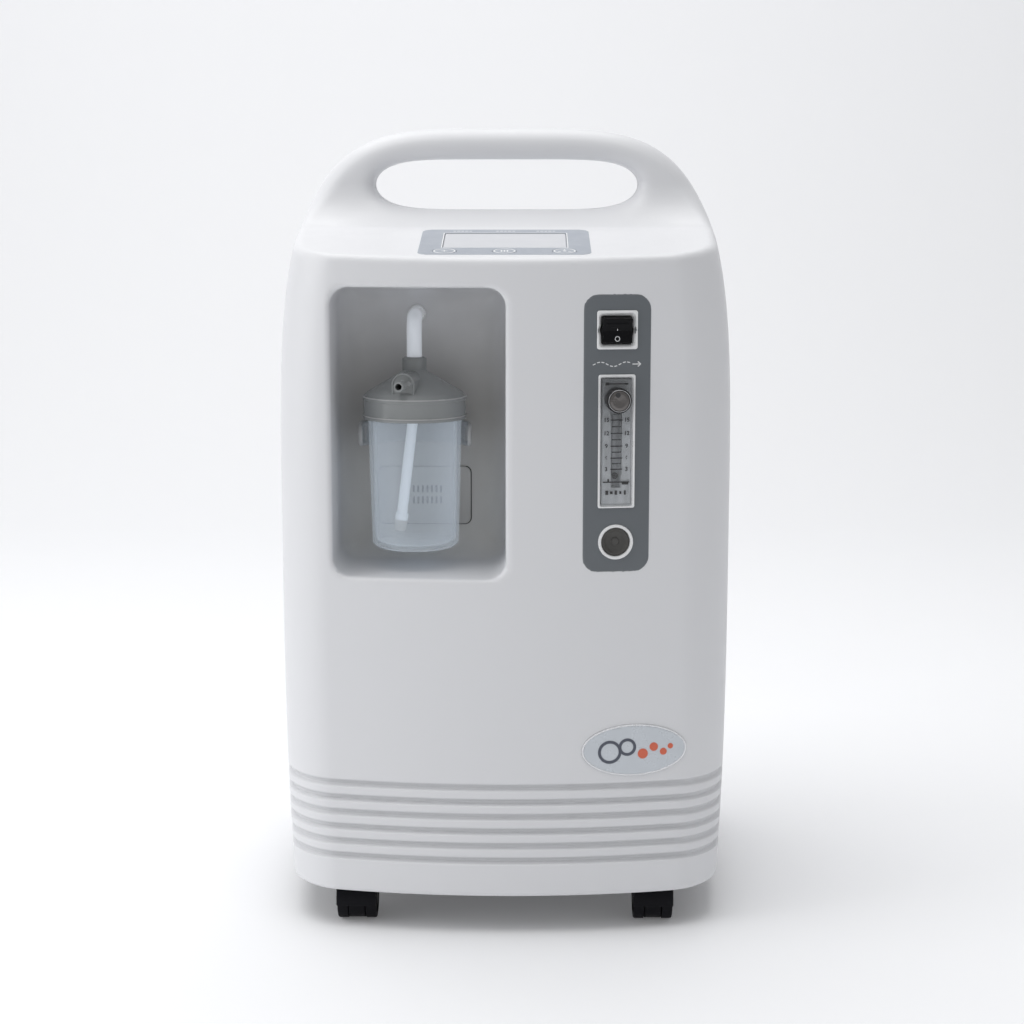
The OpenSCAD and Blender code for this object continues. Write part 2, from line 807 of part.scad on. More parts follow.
module power_inlet() color("#1d1e21") {
    translate([inlet_x, hd - 0.6, rear_low_z]) difference() {
        union() {
            translate([0, 1.3, 0]) cube([inlet_w + 4, 2, inlet_h + 4], center = true);
            translate([0, -11, 0]) cube([inlet_w, 24, inlet_h], center = true);
        }
        translate([0, 0, 0]) cube([23.8, 30, 16], center = true);
        translate([0, -11, 0]) cube([23.8, 21, 16], center = true);
    }
    translate([inlet_x, hd - 23, rear_low_z]) cube([23.8, 2, 16], center = true);
    for (p = [[-7, -2], [0, 3], [7, -2]]) translate([inlet_x + p[0], hd - 15, rear_low_z + p[1]])
        cube([2, 15, 4], center = true);
}

module breaker_body() color("#26282c") {
    translate([breaker_x, hd, rear_low_z]) rotate([90, 0, 0]) difference() {
        union() {
            translate([0, 0, -1.6]) cylinder(r = 8, h = 1.4);
            translate([0, 0, -0.3]) cylinder(r = breaker_r, h = 8);
            translate([0, 0, 16]) cube([14, 24, 18], center = true);
        }
        translate([0, 0, -3]) cylinder(r = 3.6, h = 17);
    }
}

module breaker_button() color("#e9eaec") {
    translate([breaker_x, hd, rear_low_z]) rotate([90, 0, 0])
        translate([0, 0, -5]) cylinder(r = 3.3, h = 14);
}

// ---------- chassis ----------

chassis_w = 300;
chassis_z0 = pan_z0 + pan_t;
chassis_z1 = 480;
shelf_y0 = -140;
post_w = 8;
post_y = -78;
board_x = 77.5;
board_z = 350;
board_w = 135;
board_h = 150;

module chassis_frame() color("#9ea3a8") {
    shelf_d = partition_y + 1 - shelf_y0;
    difference() {
        union() {
            translate([-chassis_w / 2, partition_y, chassis_z0])
                cube([chassis_w, sheet, chassis_z1 - chassis_z0]);
            translate([-chassis_w / 2, shelf_y0, shelf_z]) cube([chassis_w, shelf_d, sheet]);
            for (x = [-chassis_w / 2, chassis_w / 2 - post_w]) {
                translate([x, post_y, chassis_z0]) cube([post_w, post_w, shelf_z - chassis_z0 + 1]);
                translate([x, shelf_y0, shelf_z]) cube([post_w, shelf_d, 12]);
            }
            for (s = [-1, 1], t = [-1, 1])
                translate([board_x + s * (board_w / 2 - 10), partition_y, board_z + t * 60])
                    rotate([90, 0, 0]) cylinder(r = 3, h = 8);
        }
        translate([fan_x, fan_y, shelf_z - 5]) cylinder(r = fan_bore_r - 1, h = 20);
        for (x = [-48, 35]) translate([x, partition_y, 300]) rotate([90, 0, 0])
            cylinder(r = 12, h = 20, center = true);
    }
}

motor_r = 52;
motor_len = 92;
case_len = 48;
case_r = 34;
cylinder_bore_r = 20.3;
cylinder_top_z = crank_z + 75;
foot_x = 88;               // rubber feet under the compressor, from its middle
foot_y = 38;

module along_x(x, r, h) translate([x, crank_y, crank_z]) rotate([0, 90, 0])
    cylinder(r = r, h = h, center = true);

module at_feet() for (s = [-1, 1], t = [-1, 1]) translate([s * foot_x, crank_y + t * foot_y, 0])
    children();

module compressor_motor() color("#7c8187") {
    difference() {
        union() {
            along_x(0, motor_r, motor_len);
            for (s = [-1, 0, 1]) along_x(s * 30, motor_r + 2, 8);
            translate([0, crank_y, 69]) cube([200, 100, 6], center = true);
            translate([0, crank_y, 82]) cube([80, 70, 24], center = true);
        }
        along_x(0, 6.4, 100);
        at_feet() translate([0, 0, 60]) cylinder(r = 3.2, h = 20);
    }
}

module crankcases() color("#a9adb1") {
    for (s = [-1, 1]) difference() {
        union() {
            along_x(s * cylinder_x, case_r, case_len);
            translate([s * cylinder_x, crank_y, crank_z + 20])
                cylinder(r = cylinder_bore_r + 3.5, h = cylinder_top_z - crank_z - 20);
            for (i = [0:2]) translate([s * cylinder_x, crank_y, cylinder_top_z - 19 + i * 8])
                cylinder(r = 30, h = 3);
        }
        along_x(s * cylinder_x, case_r - 5, case_len - 8);
        along_x(s * (cylinder_x - case_len / 2), 6.6, 20);
        translate([s * cylinder_x, crank_y, crank_z]) cylinder(r = cylinder_bore_r, h = 90);
    }
}

module cylinder_heads() color("#8c9095") {
    for (s = [-1, 1]) translate([s * cylinder_x, crank_y, cylinder_top_z + 0.1]) {
        translate([0, 0, 3]) cube([56, 56, 6], center = true);
        for (y = [-21:7:21]) translate([0, y, 9]) cube([50, 2.5, 8], center = true);
    }
}

module crankshaft() color("#b9bcc0") {
    along_x(0, 6, 176);
    for (s = [-1, 1]) translate([0, s * crank_throw, 0]) along_x(s * cylinder_x, 11, 12);
}

module piston(s) color("#d0d3d6") {
    translate([s * cylinder_x, crank_y, crank_z]) {
        translate([0, 0, 51]) cylinder(r = cylinder_bore_r - 0.3, h = 8);
        translate([0, 0, 24]) cylinder(r = 6, h = 28);
    }
}

module vibration_mounts() color("#2b2c2f") {
    at_feet() translate([0, 0, chassis_z0]) {
        cylinder(r = 10, h = 10);
        cylinder(r = 7, h = 20);
        translate([0, 0, 19]) cylinder(r = 10, h = 11);
        cylinder(r = 3, h = 36);
    }
}

fan_bore_r = 57;
fan_screw = 52.5;

module fan_housing() color("#222327") {
    translate([fan_x, fan_y, shelf_z + sheet]) {
        difference() {
            translate([0, 0, fan_h / 2]) cube([fan_size, fan_size, fan_h], center = true);
            translate([0, 0, -1]) cylinder(r = fan_bore_r, h = fan_h + 2);
            for (s = [-1, 1], t = [-1, 1]) translate([s * fan_screw, t * fan_screw, -1])
                cylinder(r = 2.2, h = fan_h + 2);
        }
        difference() {
            union() {
                cylinder(r = 20, h = 8);
                for (a = [45:90:315]) rotate([0, 0, a]) translate([0, -3, 0]) cube([58, 6, 3]);
            }
            translate([0, 0, 3]) cylinder(r = 2.7, h = 10);
        }
    }
}

module fan_rotor() color("#303237") {
    translate([fan_x, fan_y, shelf_z + sheet]) {
        translate([0, 0, 9]) cylinder(r = 22, h = 24);
        translate([0, 0, 4]) cylinder(r = 2.5, h = 6);
        for (a = [0:360 / 7:359]) rotate([0, 0, a]) translate([37, 0, 21]) rotate([38, 0, 0])
            cube([35, 24, 1.6], center = true);
    }
}

coil_x = -125;
coil_z0 = 95;
coil_r = 4.75;
coil_pitch = 26;
coil_runs = 5;
coil_y0 = -60;
coil_y1 = 20;

module cooling_coil() color("#b87345") {
    for (i = [0:coil_runs - 1]) translate([coil_x, coil_y0, coil_z0 + i * coil_pitch])
        rotate([-90, 0, 0]) cylinder(r = coil_r, h = coil_y1 - coil_y0);
    for (i = [0:coil_runs - 2])
        translate([coil_x, i % 2 == 0 ? coil_y1 : coil_y0, coil_z0 + (i + 0.5) * coil_pitch])
        rotate([0, 90, 0]) rotate([0, 0, i % 2 == 0 ? 0 : 180])
            rotate_extrude(angle = 180) translate([coil_pitch / 2, 0]) circle(r = coil_r);
}

module pressure_vessel(x, h) {
    translate([x, bed_y, bed_z0]) {
        cylinder(r = bed_r, h = 14);
        translate([0, 0, 13]) cylinder(r = bed_r - 3, h = h - 26);
        translate([0, 0, h - 14]) cylinder(r = bed_r, h = 14);
        translate([0, 0, -6]) cylinder(r = 6, h = 8);
    }
}

bed_xs = [-88, -6];
tank_x = 76;
tank_h = 220;

module sieve_beds() color("#c2c5c9") for (x = bed_xs) pressure_vessel(x, bed_h);
module product_tank() color("#b3b7bc") pressure_vessel(tank_x, tank_h);

module valve_block() color("#4a5a72") {
    mid_x = (bed_xs[0] + bed_xs[1]) / 2;
    translate([mid_x, bed_y, bed_z0 + bed_h + 12.6]) {
        difference() {
            cube([150, 44, 25], center = true);
            for (x = bed_xs) translate([x - mid_x, 0, -20]) cylinder(r = 5, h = 20);
        }
        for (i = [-1.5:1:1.5]) translate([i * 34, 0, 12]) cylinder(r = 12, h = 34);
    }
}

module control_board() color("#2c6a49") {
    translate([board_x, partition_y - 8.9, board_z]) {
        cube([board_w, 1.6, board_h], center = true);
        translate([-35, -13, 40]) cube([40, 24, 36], center = true);
        translate([30, -11, 35]) cube([46, 20, 50], center = true);
        for (x = [-50:18:-14]) translate([x, -0.5, -20]) rotate([90, 0, 0]) cylinder(r = 7, h = 22);
        translate([25, -4, -35]) cube([50, 6, 22], center = true);
    }
}

module tube_run(r, len) rotate([-90, 0, 0]) cylinder(r = r, h = len);

module hoses() color("#c8ced4") {
    on_front(panel_x, meter_z) for (z = [-32.3, 31.7]) translate([0, 18.2, z]) tube_run(4, 50);
    translate([bottle_x, recess_back_y + 20.1, elbow_z]) tube_run(4, 60);
    translate([tank_x, bed_y, bed_z0 + tank_h + 0.1]) cylinder(r = 4.5, h = 90);
    translate([recess_x, recess_back_y + 32.8, filter_z]) tube_run(5, 60);
}

front_shell();
rear_shell();
base_pan();
shell_screws();
caster_fork(-1, -1);  // caster_fl_fork
caster_fork(1, -1);  // caster_fr_fork
caster_fork(-1, 1);  // caster_rl_fork
caster_fork(1, 1);  // caster_rr_fork
caster_wheels(-1, -1);  // caster_fl_wheels
caster_wheels(1, -1);  // caster_fr_wheels
caster_wheels(-1, 1);  // caster_rl_wheels
caster_wheels(1, 1);  // caster_rr_wheels
control_panel();
switch_bezel();
switch_body();
power_rocker();
flowmeter_frame();
flowmeter_block();
flow_knob();
float_ball();
port_bezel();
port_cap();
badge_plate();
display_overlay();
display_window();
display_key(key_xs[0]);  // key_left
display_key(key_xs[1]);  // key_middle
display_key(key_xs[2]);  // key_right
display_board();
bottle_jar();
bottle_lid();
lid_gasket();
dip_tube();
diffuser();
elbow_tube();
wall_spigot();
bottle_clip();
filter_cover();
hepa_filter();
intake_door();
foam_filter();
power_inlet();
breaker_body();
breaker_button();
chassis_frame();
compressor_motor();
crankcases();
cylinder_heads();
crankshaft();
piston(-1);  // piston_left
piston(1);  // piston_right
vibration_mounts();
fan_housing();
fan_rotor();
cooling_coil();
sieve_beds();
product_tank();
valve_block();
control_board();
hoses();
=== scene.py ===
"""Looks for the oxygen concentrator: mesh pieces, materials, light and camera, in metres."""

import math

import bmesh
import bpy
import numpy as np
from mathutils import Matrix, Vector


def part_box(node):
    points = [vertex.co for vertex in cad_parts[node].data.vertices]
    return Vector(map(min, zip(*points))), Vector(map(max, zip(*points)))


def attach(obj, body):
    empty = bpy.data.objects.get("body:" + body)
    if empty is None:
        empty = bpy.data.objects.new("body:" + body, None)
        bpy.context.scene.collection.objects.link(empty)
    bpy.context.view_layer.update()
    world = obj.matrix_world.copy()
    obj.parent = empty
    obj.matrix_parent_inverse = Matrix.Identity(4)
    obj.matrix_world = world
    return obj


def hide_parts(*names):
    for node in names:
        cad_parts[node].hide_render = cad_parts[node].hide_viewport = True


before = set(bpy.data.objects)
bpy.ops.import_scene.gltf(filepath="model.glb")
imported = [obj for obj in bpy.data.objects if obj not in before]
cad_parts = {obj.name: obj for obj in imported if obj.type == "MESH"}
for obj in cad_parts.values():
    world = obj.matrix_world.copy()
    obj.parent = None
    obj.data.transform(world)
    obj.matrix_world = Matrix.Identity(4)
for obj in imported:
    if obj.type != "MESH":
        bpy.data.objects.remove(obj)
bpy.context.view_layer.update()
MM = 0.001
KEY_NODES = ("key_left", "key_middle", "key_right")
CORNERS = ("fl", "fr", "rl", "rr")
CASTER_TRAIL = 10 * MM      # the wheels stand this far in front of their pivots

# ---------- driving sizes, read from the frame ----------

FRONT_LOW, FRONT_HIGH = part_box("front_shell")
HALF_W = FRONT_HIGH.x
FRONT_Y = FRONT_LOW.y
BACK_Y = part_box("rear_shell")[1].y
BASE_Z = FRONT_LOW.z
TOP_Z = FRONT_HIGH.z
WALL = 6 * MM               # thick enough for the meshing grid; the real shell is thinner inside

FRONT_R = 606 * MM          # bow of the front face
BACK_R = 2400 * MM          # bow of the back face
SIDE_R = 860 * MM           # bow of the sides
CORNER_R = 32 * MM
ARCH_Z = 290 * MM           # the sides start to close in to the handle arch here
ARCH_POWER = 4.12
SKIRT_PINCH = 5.2 * MM      # how much each side draws in at the lower edge
DECK_Z0 = 514 * MM          # front edge of the sloping deck
DECK_Z1 = 505 * MM          # rear edge of the rear slope
DECK_TILT = math.radians(10)
APEX_Z = DECK_Z0 - FRONT_Y * math.tan(DECK_TILT)
REAR_TILT = math.atan((APEX_Z - DECK_Z1) / BACK_Y)
HANDLE_HALF_D = 23 * MM
HANDLE_BLEND = 30 * MM
GRIP_HALF_W = 105.5 * MM
GRIP_HALF_H = 19.9 * MM
GRIP_POWER = 6              # squareness of the ends of the hand opening
GRIP_Z = 567 * MM
GROOVE_TOP = 117 * MM
GROOVE_PITCH = 11.52 * MM
GROOVE_COUNT = 6
GROOVE_DEPTH = 3.0 * MM
OPENING_Y = 100 * MM        # openings are cut from here outwards, so through one wall only
BOW_REACH = 200 * MM        # beyond this, outside the cabinet, the sides bow no further
SMOOTH_ANGLE = math.radians(38)     # edges sharper than this stay crisp
GROOVE_WALL = 5 * MM        # the wall is this much thicker behind the grooves


# ---------- signed distance helpers ----------

def mm(*values):
    """Values in millimetres, turned into metres."""
    return tuple(value * MM for value in values)


def slab(v, low, high):
    """Distance to the layer between two parallel planes."""
    return np.maximum(low - v, v - high)


def round_max(a, b, r):
    """Intersection of two solids with a fillet of radius r along their common edge."""
    return np.minimum(-r, np.maximum(a, b)) + np.hypot(np.maximum(a + r, 0), np.maximum(b + r, 0))


def round_min(a, b, r):
    """Union of two solids with a fillet of radius r in their common corner."""
    return -round_max(-a, -b, r)


def smoothstep(lo, hi, v):
    t = np.clip((v - lo) / (hi - lo), 0, 1)
    return t * t * (3 - 2 * t)


def rect_field(u, v, half_u, half_v, r):
    """Distance to a rectangle with corner radius r, centred on the origin."""
    du = np.abs(u) - half_u + r
    dv = np.abs(v) - half_v + r
    return np.hypot(np.maximum(du, 0), np.maximum(dv, 0)) + np.minimum(np.maximum(du, dv), 0) - r


def box_field(x, y, z, low, high, r=0.5 * MM):
    mid = [(a + b) / 2 for a, b in zip(low, high)]
    half = [(b - a) / 2 for a, b in zip(low, high)]
    side = rect_field(x - mid[0], z - mid[2], half[0], half[2], r)
    return np.maximum(side, np.abs(y - mid[1]) - half[1])


# ---------- local frames ----------

STAND_UP = Matrix.Rotation(math.pi / 2, 4, "X")     # turns local +Z to point out of the front


def front_y(x):
    return FRONT_Y + FRONT_R - math.sqrt(FRONT_R ** 2 - x ** 2)


def on_front(x, z):
    """Frame on the front face with local -Y pointing straight out."""
    return Matrix.Translation((x, front_y(x), z)) @ Matrix.Rotation(math.asin(x / FRONT_R), 4, "Z")


def on_deck(x, y):
    """Frame on the deck with local +Z pointing straight out."""
    z = DECK_Z0 + (y - FRONT_Y) * math.tan(DECK_TILT)
    return Matrix.Translation((x, y, z)) @ Matrix.Rotation(DECK_TILT, 4, "X")


def shift(x, y, z):
    """A move by millimetres."""
    return Matrix.Translation(mm(x, y, z))


def middle(node):
    low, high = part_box(node)
    return (low + high) / 2


PANEL_X = middle("control_panel").x
SWITCH_AT = on_front(PANEL_X, middle("switch_bezel").z)
METER_AT = on_front(PANEL_X, middle("flowmeter_frame").z)
KNOB_AT = on_front(PANEL_X, middle("flow_knob").z)
PORT_AT = on_front(PANEL_X, middle("port_bezel").z)
DISPLAY_AT = on_deck(0, -106.5 * MM)


def front_hole(at, half_u, half_v, r):
    """A straight opening through the front face, square to it at the frame called at."""
    inverse = at.inverted()

    def field(x, y, z):
        u = inverse[0][0] * x + inverse[0][1] * y + inverse[0][3]
        return rect_field(u, z - at.translation.z, half_u, half_v, r)
    return field


# ---------- the cabinet as a distance field ----------

def outline_field(x, z):
    """Front silhouette: a pinched skirt below, a squarish arch above."""
    rise = TOP_Z - ARCH_Z
    u = np.abs(x) / HALF_W
    v = np.maximum(z - ARCH_Z, 0) / rise
    n = ARCH_POWER
    s = np.maximum((u ** n + v ** n) ** (1 / n), 1e-4)
    slope = np.hypot((u / s) ** (n - 1) / HALF_W, (v / s) ** (n - 1) / rise)
    arch = (s - 1) / slope
    drop = np.maximum(ARCH_Z - z, 0) / (ARCH_Z - BASE_Z)
    skirt = np.abs(x) - HALF_W + SKIRT_PINCH * drop ** 3
    return np.where(z > ARCH_Z, arch, skirt)


def walls_field(x, y, z):
    front = np.hypot(x, y - FRONT_Y - FRONT_R) - FRONT_R
    back = np.hypot(x, y - BACK_Y + BACK_R) - BACK_R
    bow = SIDE_R - np.sqrt(SIDE_R ** 2 - np.minimum(np.abs(y), BOW_REACH) ** 2)
    side = outline_field(np.abs(x) + bow, z)
    return round_max(np.maximum(front, back), side, CORNER_R)


def profile_field(y, z):
    front = (z - DECK_Z0 - (y - FRONT_Y) * math.tan(DECK_TILT)) * math.cos(DECK_TILT)
    rear = (z - DECK_Z1 + (y - BACK_Y) * math.tan(REAR_TILT)) * math.cos(REAR_TILT)
    return round_min(np.maximum(front, rear), np.abs(y) - HANDLE_HALF_D, HANDLE_BLEND)


def grip_field(x, z):
    """The hand opening: a long oval with softly pointed ends."""
    u = np.abs(x) / GRIP_HALF_W
    v = (z - GRIP_Z) / GRIP_HALF_H
    slope = np.hypot(GRIP_POWER * u ** (GRIP_POWER - 1) / GRIP_HALF_W, 2 * v / GRIP_HALF_H)
    return (u ** GRIP_POWER + v ** 2 - 1) / np.maximum(slope, 1.2 / GRIP_HALF_H)


def body_field(x, y, z):
    """The closed-off cabinet, open below, with the hand opening through the arch."""
    edge = (5 + 9 * smoothstep(APEX_Z - 10 * MM, APEX_Z + 25 * MM, z)) * MM
    d = round_max(walls_field(x, y, z), profile_field(y, z), edge)
    return round_max(d, -grip_field(x, z), 9 * MM)


def groove_depth(z):
    """Depth of the grooves: a long slope facing down, then a short lip facing up to the light."""
    below = np.clip(np.round((GROOVE_TOP - z) / GROOVE_PITCH), 0, GROOVE_COUNT - 1)
    t = z - GROOVE_TOP + below * GROOVE_PITCH
    shade = np.clip((2.3 * MM - t) / (2.6 * MM), 0, 1)
    lip = np.clip((t + 4.2 * MM) / (1.8 * MM), 0, 1)
    return GROOVE_DEPTH * np.minimum(shade, lip)


def groove_backing(z):
    """Extra wall thickness behind the band of grooves."""
    low, high = GROOVE_TOP - GROOVE_COUNT * GROOVE_PITCH, GROOVE_TOP + GROOVE_PITCH
    return GROOVE_WALL * smoothstep(low - 8 * MM, low, z) * (1 - smoothstep(high, high + 8 * MM, z))


RECESS_LOW = Vector(mm(-129, -60, 276.35))
RECESS_HIGH = Vector(mm(1, 0, 492.65))


def recess_field(x, y, z):
    """The dished bay that the humidifier bottle stands in."""
    mid_x = (RECESS_LOW.x + RECESS_HIGH.x) / 2
    mid_z = (RECESS_LOW.z + RECESS_HIGH.z) / 2
    side = rect_field(x - mid_x, z - mid_z, RECESS_HIGH.x - mid_x, RECESS_HIGH.z - mid_z, 14 * MM)
    return round_max(side, y - RECESS_LOW.y, 22 * MM)


DOOR_LOW, DOOR_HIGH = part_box("intake_door")
FRONT_HOLES = [front_hole(SWITCH_AT, *mm(13.5, 12.6, 1)),
               front_hole(METER_AT, *mm(12.8, 48.7, 1)),
               front_hole(PORT_AT, *mm(12.5, 12.5, 12.4))]
SCREW_X = 150 * MM
SCREW_ZS = [62 * MM, 270 * MM, 460 * MM]
INLET_LOW, INLET_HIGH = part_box("power_inlet")
BREAKER_LOW, BREAKER_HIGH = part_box("breaker_body")
VENT_COUNT = 10
VENT_PITCH = 12 * MM
VENT_X0 = -120 * MM
VENT_Z = (INLET_LOW.z + INLET_HIGH.z) / 2
HOLLOW_TOP = 522 * MM       # the handle above this height is drawn solid


def deck_hole(x, y, z):
    """The openings in the deck under the display and its keys, hidden by the overlay."""
    rows = DISPLAY_AT.inverted()
    u, v, w = (row[0] * x + row[1] * y + row[2] * z + row[3] for row in rows[:3])
    edge = rect_field(u, v - WINDOW_OFF, WINDOW_HALF_W + 3 * MM, WINDOW_HALF_D + 3 * MM, 3 * MM)
    for node in KEY_NODES:
        edge = np.minimum(edge, np.hypot(u - middle(node).x, v - KEY_OFF) - KEY_R - 1 * MM)
    return np.maximum(edge, -12 * MM - w)


def front_shell_field(x, y, z):
    body = body_field(x, y, z)
    recess = recess_field(x, y, z)
    skin = round_max(body + groove_depth(z), BASE_Z - z, 3.5 * MM)
    skin = round_max(skin, -recess, 3.5 * MM)
    skin = round_max(skin, y + 0.25 * MM, 0.8 * MM)
    roof = RECESS_HIGH.z - 4 * MM
    hollow = np.maximum(np.maximum(body + WALL + groove_backing(z), WALL - recess), z - roof)
    d = np.maximum(skin, -hollow)
    for hole in FRONT_HOLES:
        d = np.maximum(d, -np.maximum(hole(x, y, z), y + OPENING_Y))
    return np.maximum(d, -deck_hole(x, y, z))


def rear_shell_field(x, y, z):
    body = body_field(x, y, z)
    skin = round_max(body + groove_depth(z), BASE_Z - z, 3.5 * MM)
    skin = round_max(skin, 0.25 * MM - y, 0.8 * MM)
    mid_z = (DOOR_LOW.z + DOOR_HIGH.z) / 2
    half_w = DOOR_HIGH.x + 0.5 * MM
    half_h = DOOR_HIGH.z - mid_z + 0.5 * MM
    bay = np.maximum(rect_field(x, z - mid_z, half_w, half_h, 3 * MM), BACK_Y - 10 * MM - y)
    skin = round_max(skin, -bay, 1 * MM)
    hollow = np.maximum(np.maximum(body + WALL + groove_backing(z), WALL - bay), z - HOLLOW_TOP)
    screw = np.full_like(body, 1.0)
    for screw_z in SCREW_ZS:
        screw = np.minimum(screw, np.hypot(np.abs(x) - SCREW_X, z - screw_z))
    well = np.maximum(screw - 5 * MM, 40 * MM - y)
    skin = round_max(skin, -well, 0.6 * MM)
    hollow = np.maximum(hollow, 8 * MM - screw)
    d = np.maximum(skin, -hollow)
    window = np.maximum(rect_field(x, z - mid_z, half_w - 10 * MM, half_h - 10 * MM, 3 * MM), OPENING_Y - y)
    d = np.maximum(d, -window)
    low, high = INLET_LOW, INLET_HIGH
    inlet = box_field(x, y, z, (low.x + 2 * MM, OPENING_Y, low.z + 2 * MM),
                      (high.x - 2 * MM, 0.3, high.z - 2 * MM))
    breaker_x = (BREAKER_LOW.x + BREAKER_HIGH.x) / 2
    breaker = np.maximum(np.hypot(x - breaker_x, z - VENT_Z) - 6.2 * MM, OPENING_Y - y)
    slot = np.clip(np.round((x - VENT_X0) / VENT_PITCH), 0, VENT_COUNT - 1) * VENT_PITCH + VENT_X0
    vents = np.maximum(rect_field(x - slot, z - VENT_Z, *mm(2.5, 22, 2.4)), OPENING_Y - y)
    for opening in (inlet, breaker, vents):
        d = np.maximum(d, -opening)
    return d


# ---------- meshing a distance field ----------

def grid_lines(start, *spans):
    """Grid positions from start through spans of (end, largest step), all in millimetres."""
    lines = [np.array([start])]
    for end, step in spans:
        count = max(1, math.ceil((end - start) / step))
        lines.append(np.linspace(start, end, count + 1)[1:])
        start = end
    return np.concatenate(lines) * MM


def cell_edges(values, lines, axis):
    """Grid edges along one axis that the surface crosses, with the crossing points."""
    lo = [slice(None)] * 3
    hi = [slice(None)] * 3
    lo[axis] = slice(0, -1)
    hi[axis] = slice(1, None)
    a, b = values[tuple(lo)], values[tuple(hi)]
    index = np.array(np.nonzero((a < 0) != (b < 0)))
    fa, fb = a[tuple(index)], b[tuple(index)]
    points = np.array([lines[k][index[k]] for k in range(3)])
    span = lines[axis][index[axis] + 1] - lines[axis][index[axis]]
    points[axis] += span * fa / (fa - fb)
    return index, points, fa < 0


def surface_net(field, lines):
    """Quads over the zero surface of field, with one vertex in each grid cell it crosses."""
    grid = np.meshgrid(*lines, indexing="ij")
    values = field(*grid)
    dims = np.array(values.shape) - 1
    total = np.zeros((4, dims.prod()))
    faces = []
    for axis in range(3):
        index, points, outward = cell_edges(values, lines, axis)
        b, c = (axis + 1) % 3, (axis + 2) % 3
        ring = []
        keep = np.ones(index.shape[1], bool)
        for db, dc in ((1, 1), (0, 1), (0, 0), (1, 0)):
            cell = index.copy()
            cell[b] -= db
            cell[c] -= dc
            good = (cell[b] >= 0) & (cell[c] >= 0) & (cell[b] < dims[b]) & (cell[c] < dims[c])
            flat = (cell[0] * dims[1] + cell[1]) * dims[2] + cell[2]
            for k in range(3):
                total[k] += np.bincount(flat[good], points[k][good], total.shape[1])
            total[3] += np.bincount(flat[good], minlength=total.shape[1])
            ring.append(flat)
            keep &= good
        quad = np.array(ring).T
        quad = np.where(outward[:, None], quad, quad[:, ::-1])
        faces.append(quad[keep])
    faces = np.concatenate(faces)
    used = np.unique(faces)
    verts = (total[:3, used] / total[3, used]).T
    return pull_to_surface(field, verts), np.searchsorted(used, faces)


def gradient(field, p):
    h = 0.05 * MM
    steps = np.eye(3) * h
    columns = [field(*(p + s).T) - field(*(p - s).T) for s in steps]
    return np.array(columns).T / (2 * h)


def pull_to_surface(field, verts, rounds=5, reach=0.8 * MM):
    for _ in range(rounds):
        value = field(*verts.T)
        slope = gradient(field, verts)
        steep = np.maximum(np.linalg.norm(slope, axis=1), 0.45)
        move = np.clip(-value / steep, -reach, reach)
        verts = verts + (move / steep)[:, None] * slope
    return verts


def add_object(name, data):
    """A new object in the scene that holds data."""
    piece = bpy.data.objects.new(name, data)
    bpy.context.scene.collection.objects.link(piece)
    return piece


def mesh_piece(name, verts, faces):
    """A new object from vertices and faces, shaded smooth where its edges are soft."""
    mesh = bpy.data.meshes.new(name)
    mesh.from_pydata([tuple(v) for v in verts], [], [tuple(f) for f in faces])
    mesh.validate()
    mesh.polygons.foreach_set("use_smooth", [True] * len(mesh.polygons))
    mesh.set_sharp_from_angle(angle=SMOOTH_ANGLE)
    mesh.update()
    return add_object(name, mesh)


def field_piece(name, field, lines):
    return mesh_piece(name, *surface_net(field, lines))


def dress(piece, body, slot, material, *nodes):
    """Rides the piece on a body, gives it its material, and hides the nodes it replaces; slot is not used.
    """
    piece.data.materials.clear()
    piece.data.materials.append(material)
    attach(piece, body)
    if nodes:
        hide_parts(*nodes)


def uniform_lines(low, high, step):
    """The same step along all three axes of a box, with a margin of two steps."""
    return [np.arange(a - 2 * step, b + 2.5 * step, step) for a, b in zip(low, high)]


def span_lines(*spans):
    """Grid positions for x, y and z, each from (start, end, step) in millimetres."""
    return [np.arange(*mm(*span)) for span in spans]


def place(piece, matrix):
    """Moves a piece's mesh out of the local frame it was drawn in."""
    piece.data.transform(matrix)
    piece.data.update()
    return piece


# ---------- revolved and swept shapes ----------

def round_corners(points, steps=4):
    """A closed outline from (u, v, radius) corners, each rounded with an arc."""
    outline = []
    for i, (u, v, r) in enumerate(points):
        here = np.array([u, v])
        before = np.array(points[i - 1][:2]) - here
        after = np.array(points[(i + 1) % len(points)][:2]) - here
        if r <= 0:
            outline.append(here)
            continue
        reach_b, reach_a = np.linalg.norm(before), np.linalg.norm(after)
        cosine = float(before @ after) / (reach_b * reach_a)
        half = math.acos(max(-1.0, min(1.0, cosine))) / 2
        cut = min(r / math.tan(half), 0.49 * reach_b, 0.49 * reach_a)
        start = here + before / reach_b * cut
        end = here + after / reach_a * cut
        for k in range(steps + 1):
            t = k / steps
            outline.append((1 - t) ** 2 * start + 2 * t * (1 - t) * here + t ** 2 * end)
    return outline


def revolve(name, points, segments, ripple, ripple_count):
    """Turns a closed outline of (radius, height, corner radius) in mm about local Z."""
    outline = [np.array(p) * MM for p in round_corners(points)]
    count = len(outline)
    verts, faces = [], []
    for i in range(segments):
        a = 2 * math.pi * i / segments
        push = ripple * MM * math.cos(ripple_count * a)
        for r, h in outline:
            edge = r + (push if r > 0.9 * max(p[0] for p in outline) else 0)
            verts.append((max(edge, 0.01 * MM) * math.cos(a), max(edge, 0.01 * MM) * math.sin(a), h))
    for i in range(segments):
        for k in range(count):
            a, b = i * count, (i + 1) % segments * count
            n = (k + 1) % count
            faces.append((a + k, b + k, b + n, a + n))
    piece = mesh_piece(name, verts, faces)
    make_solid(piece)
    return piece


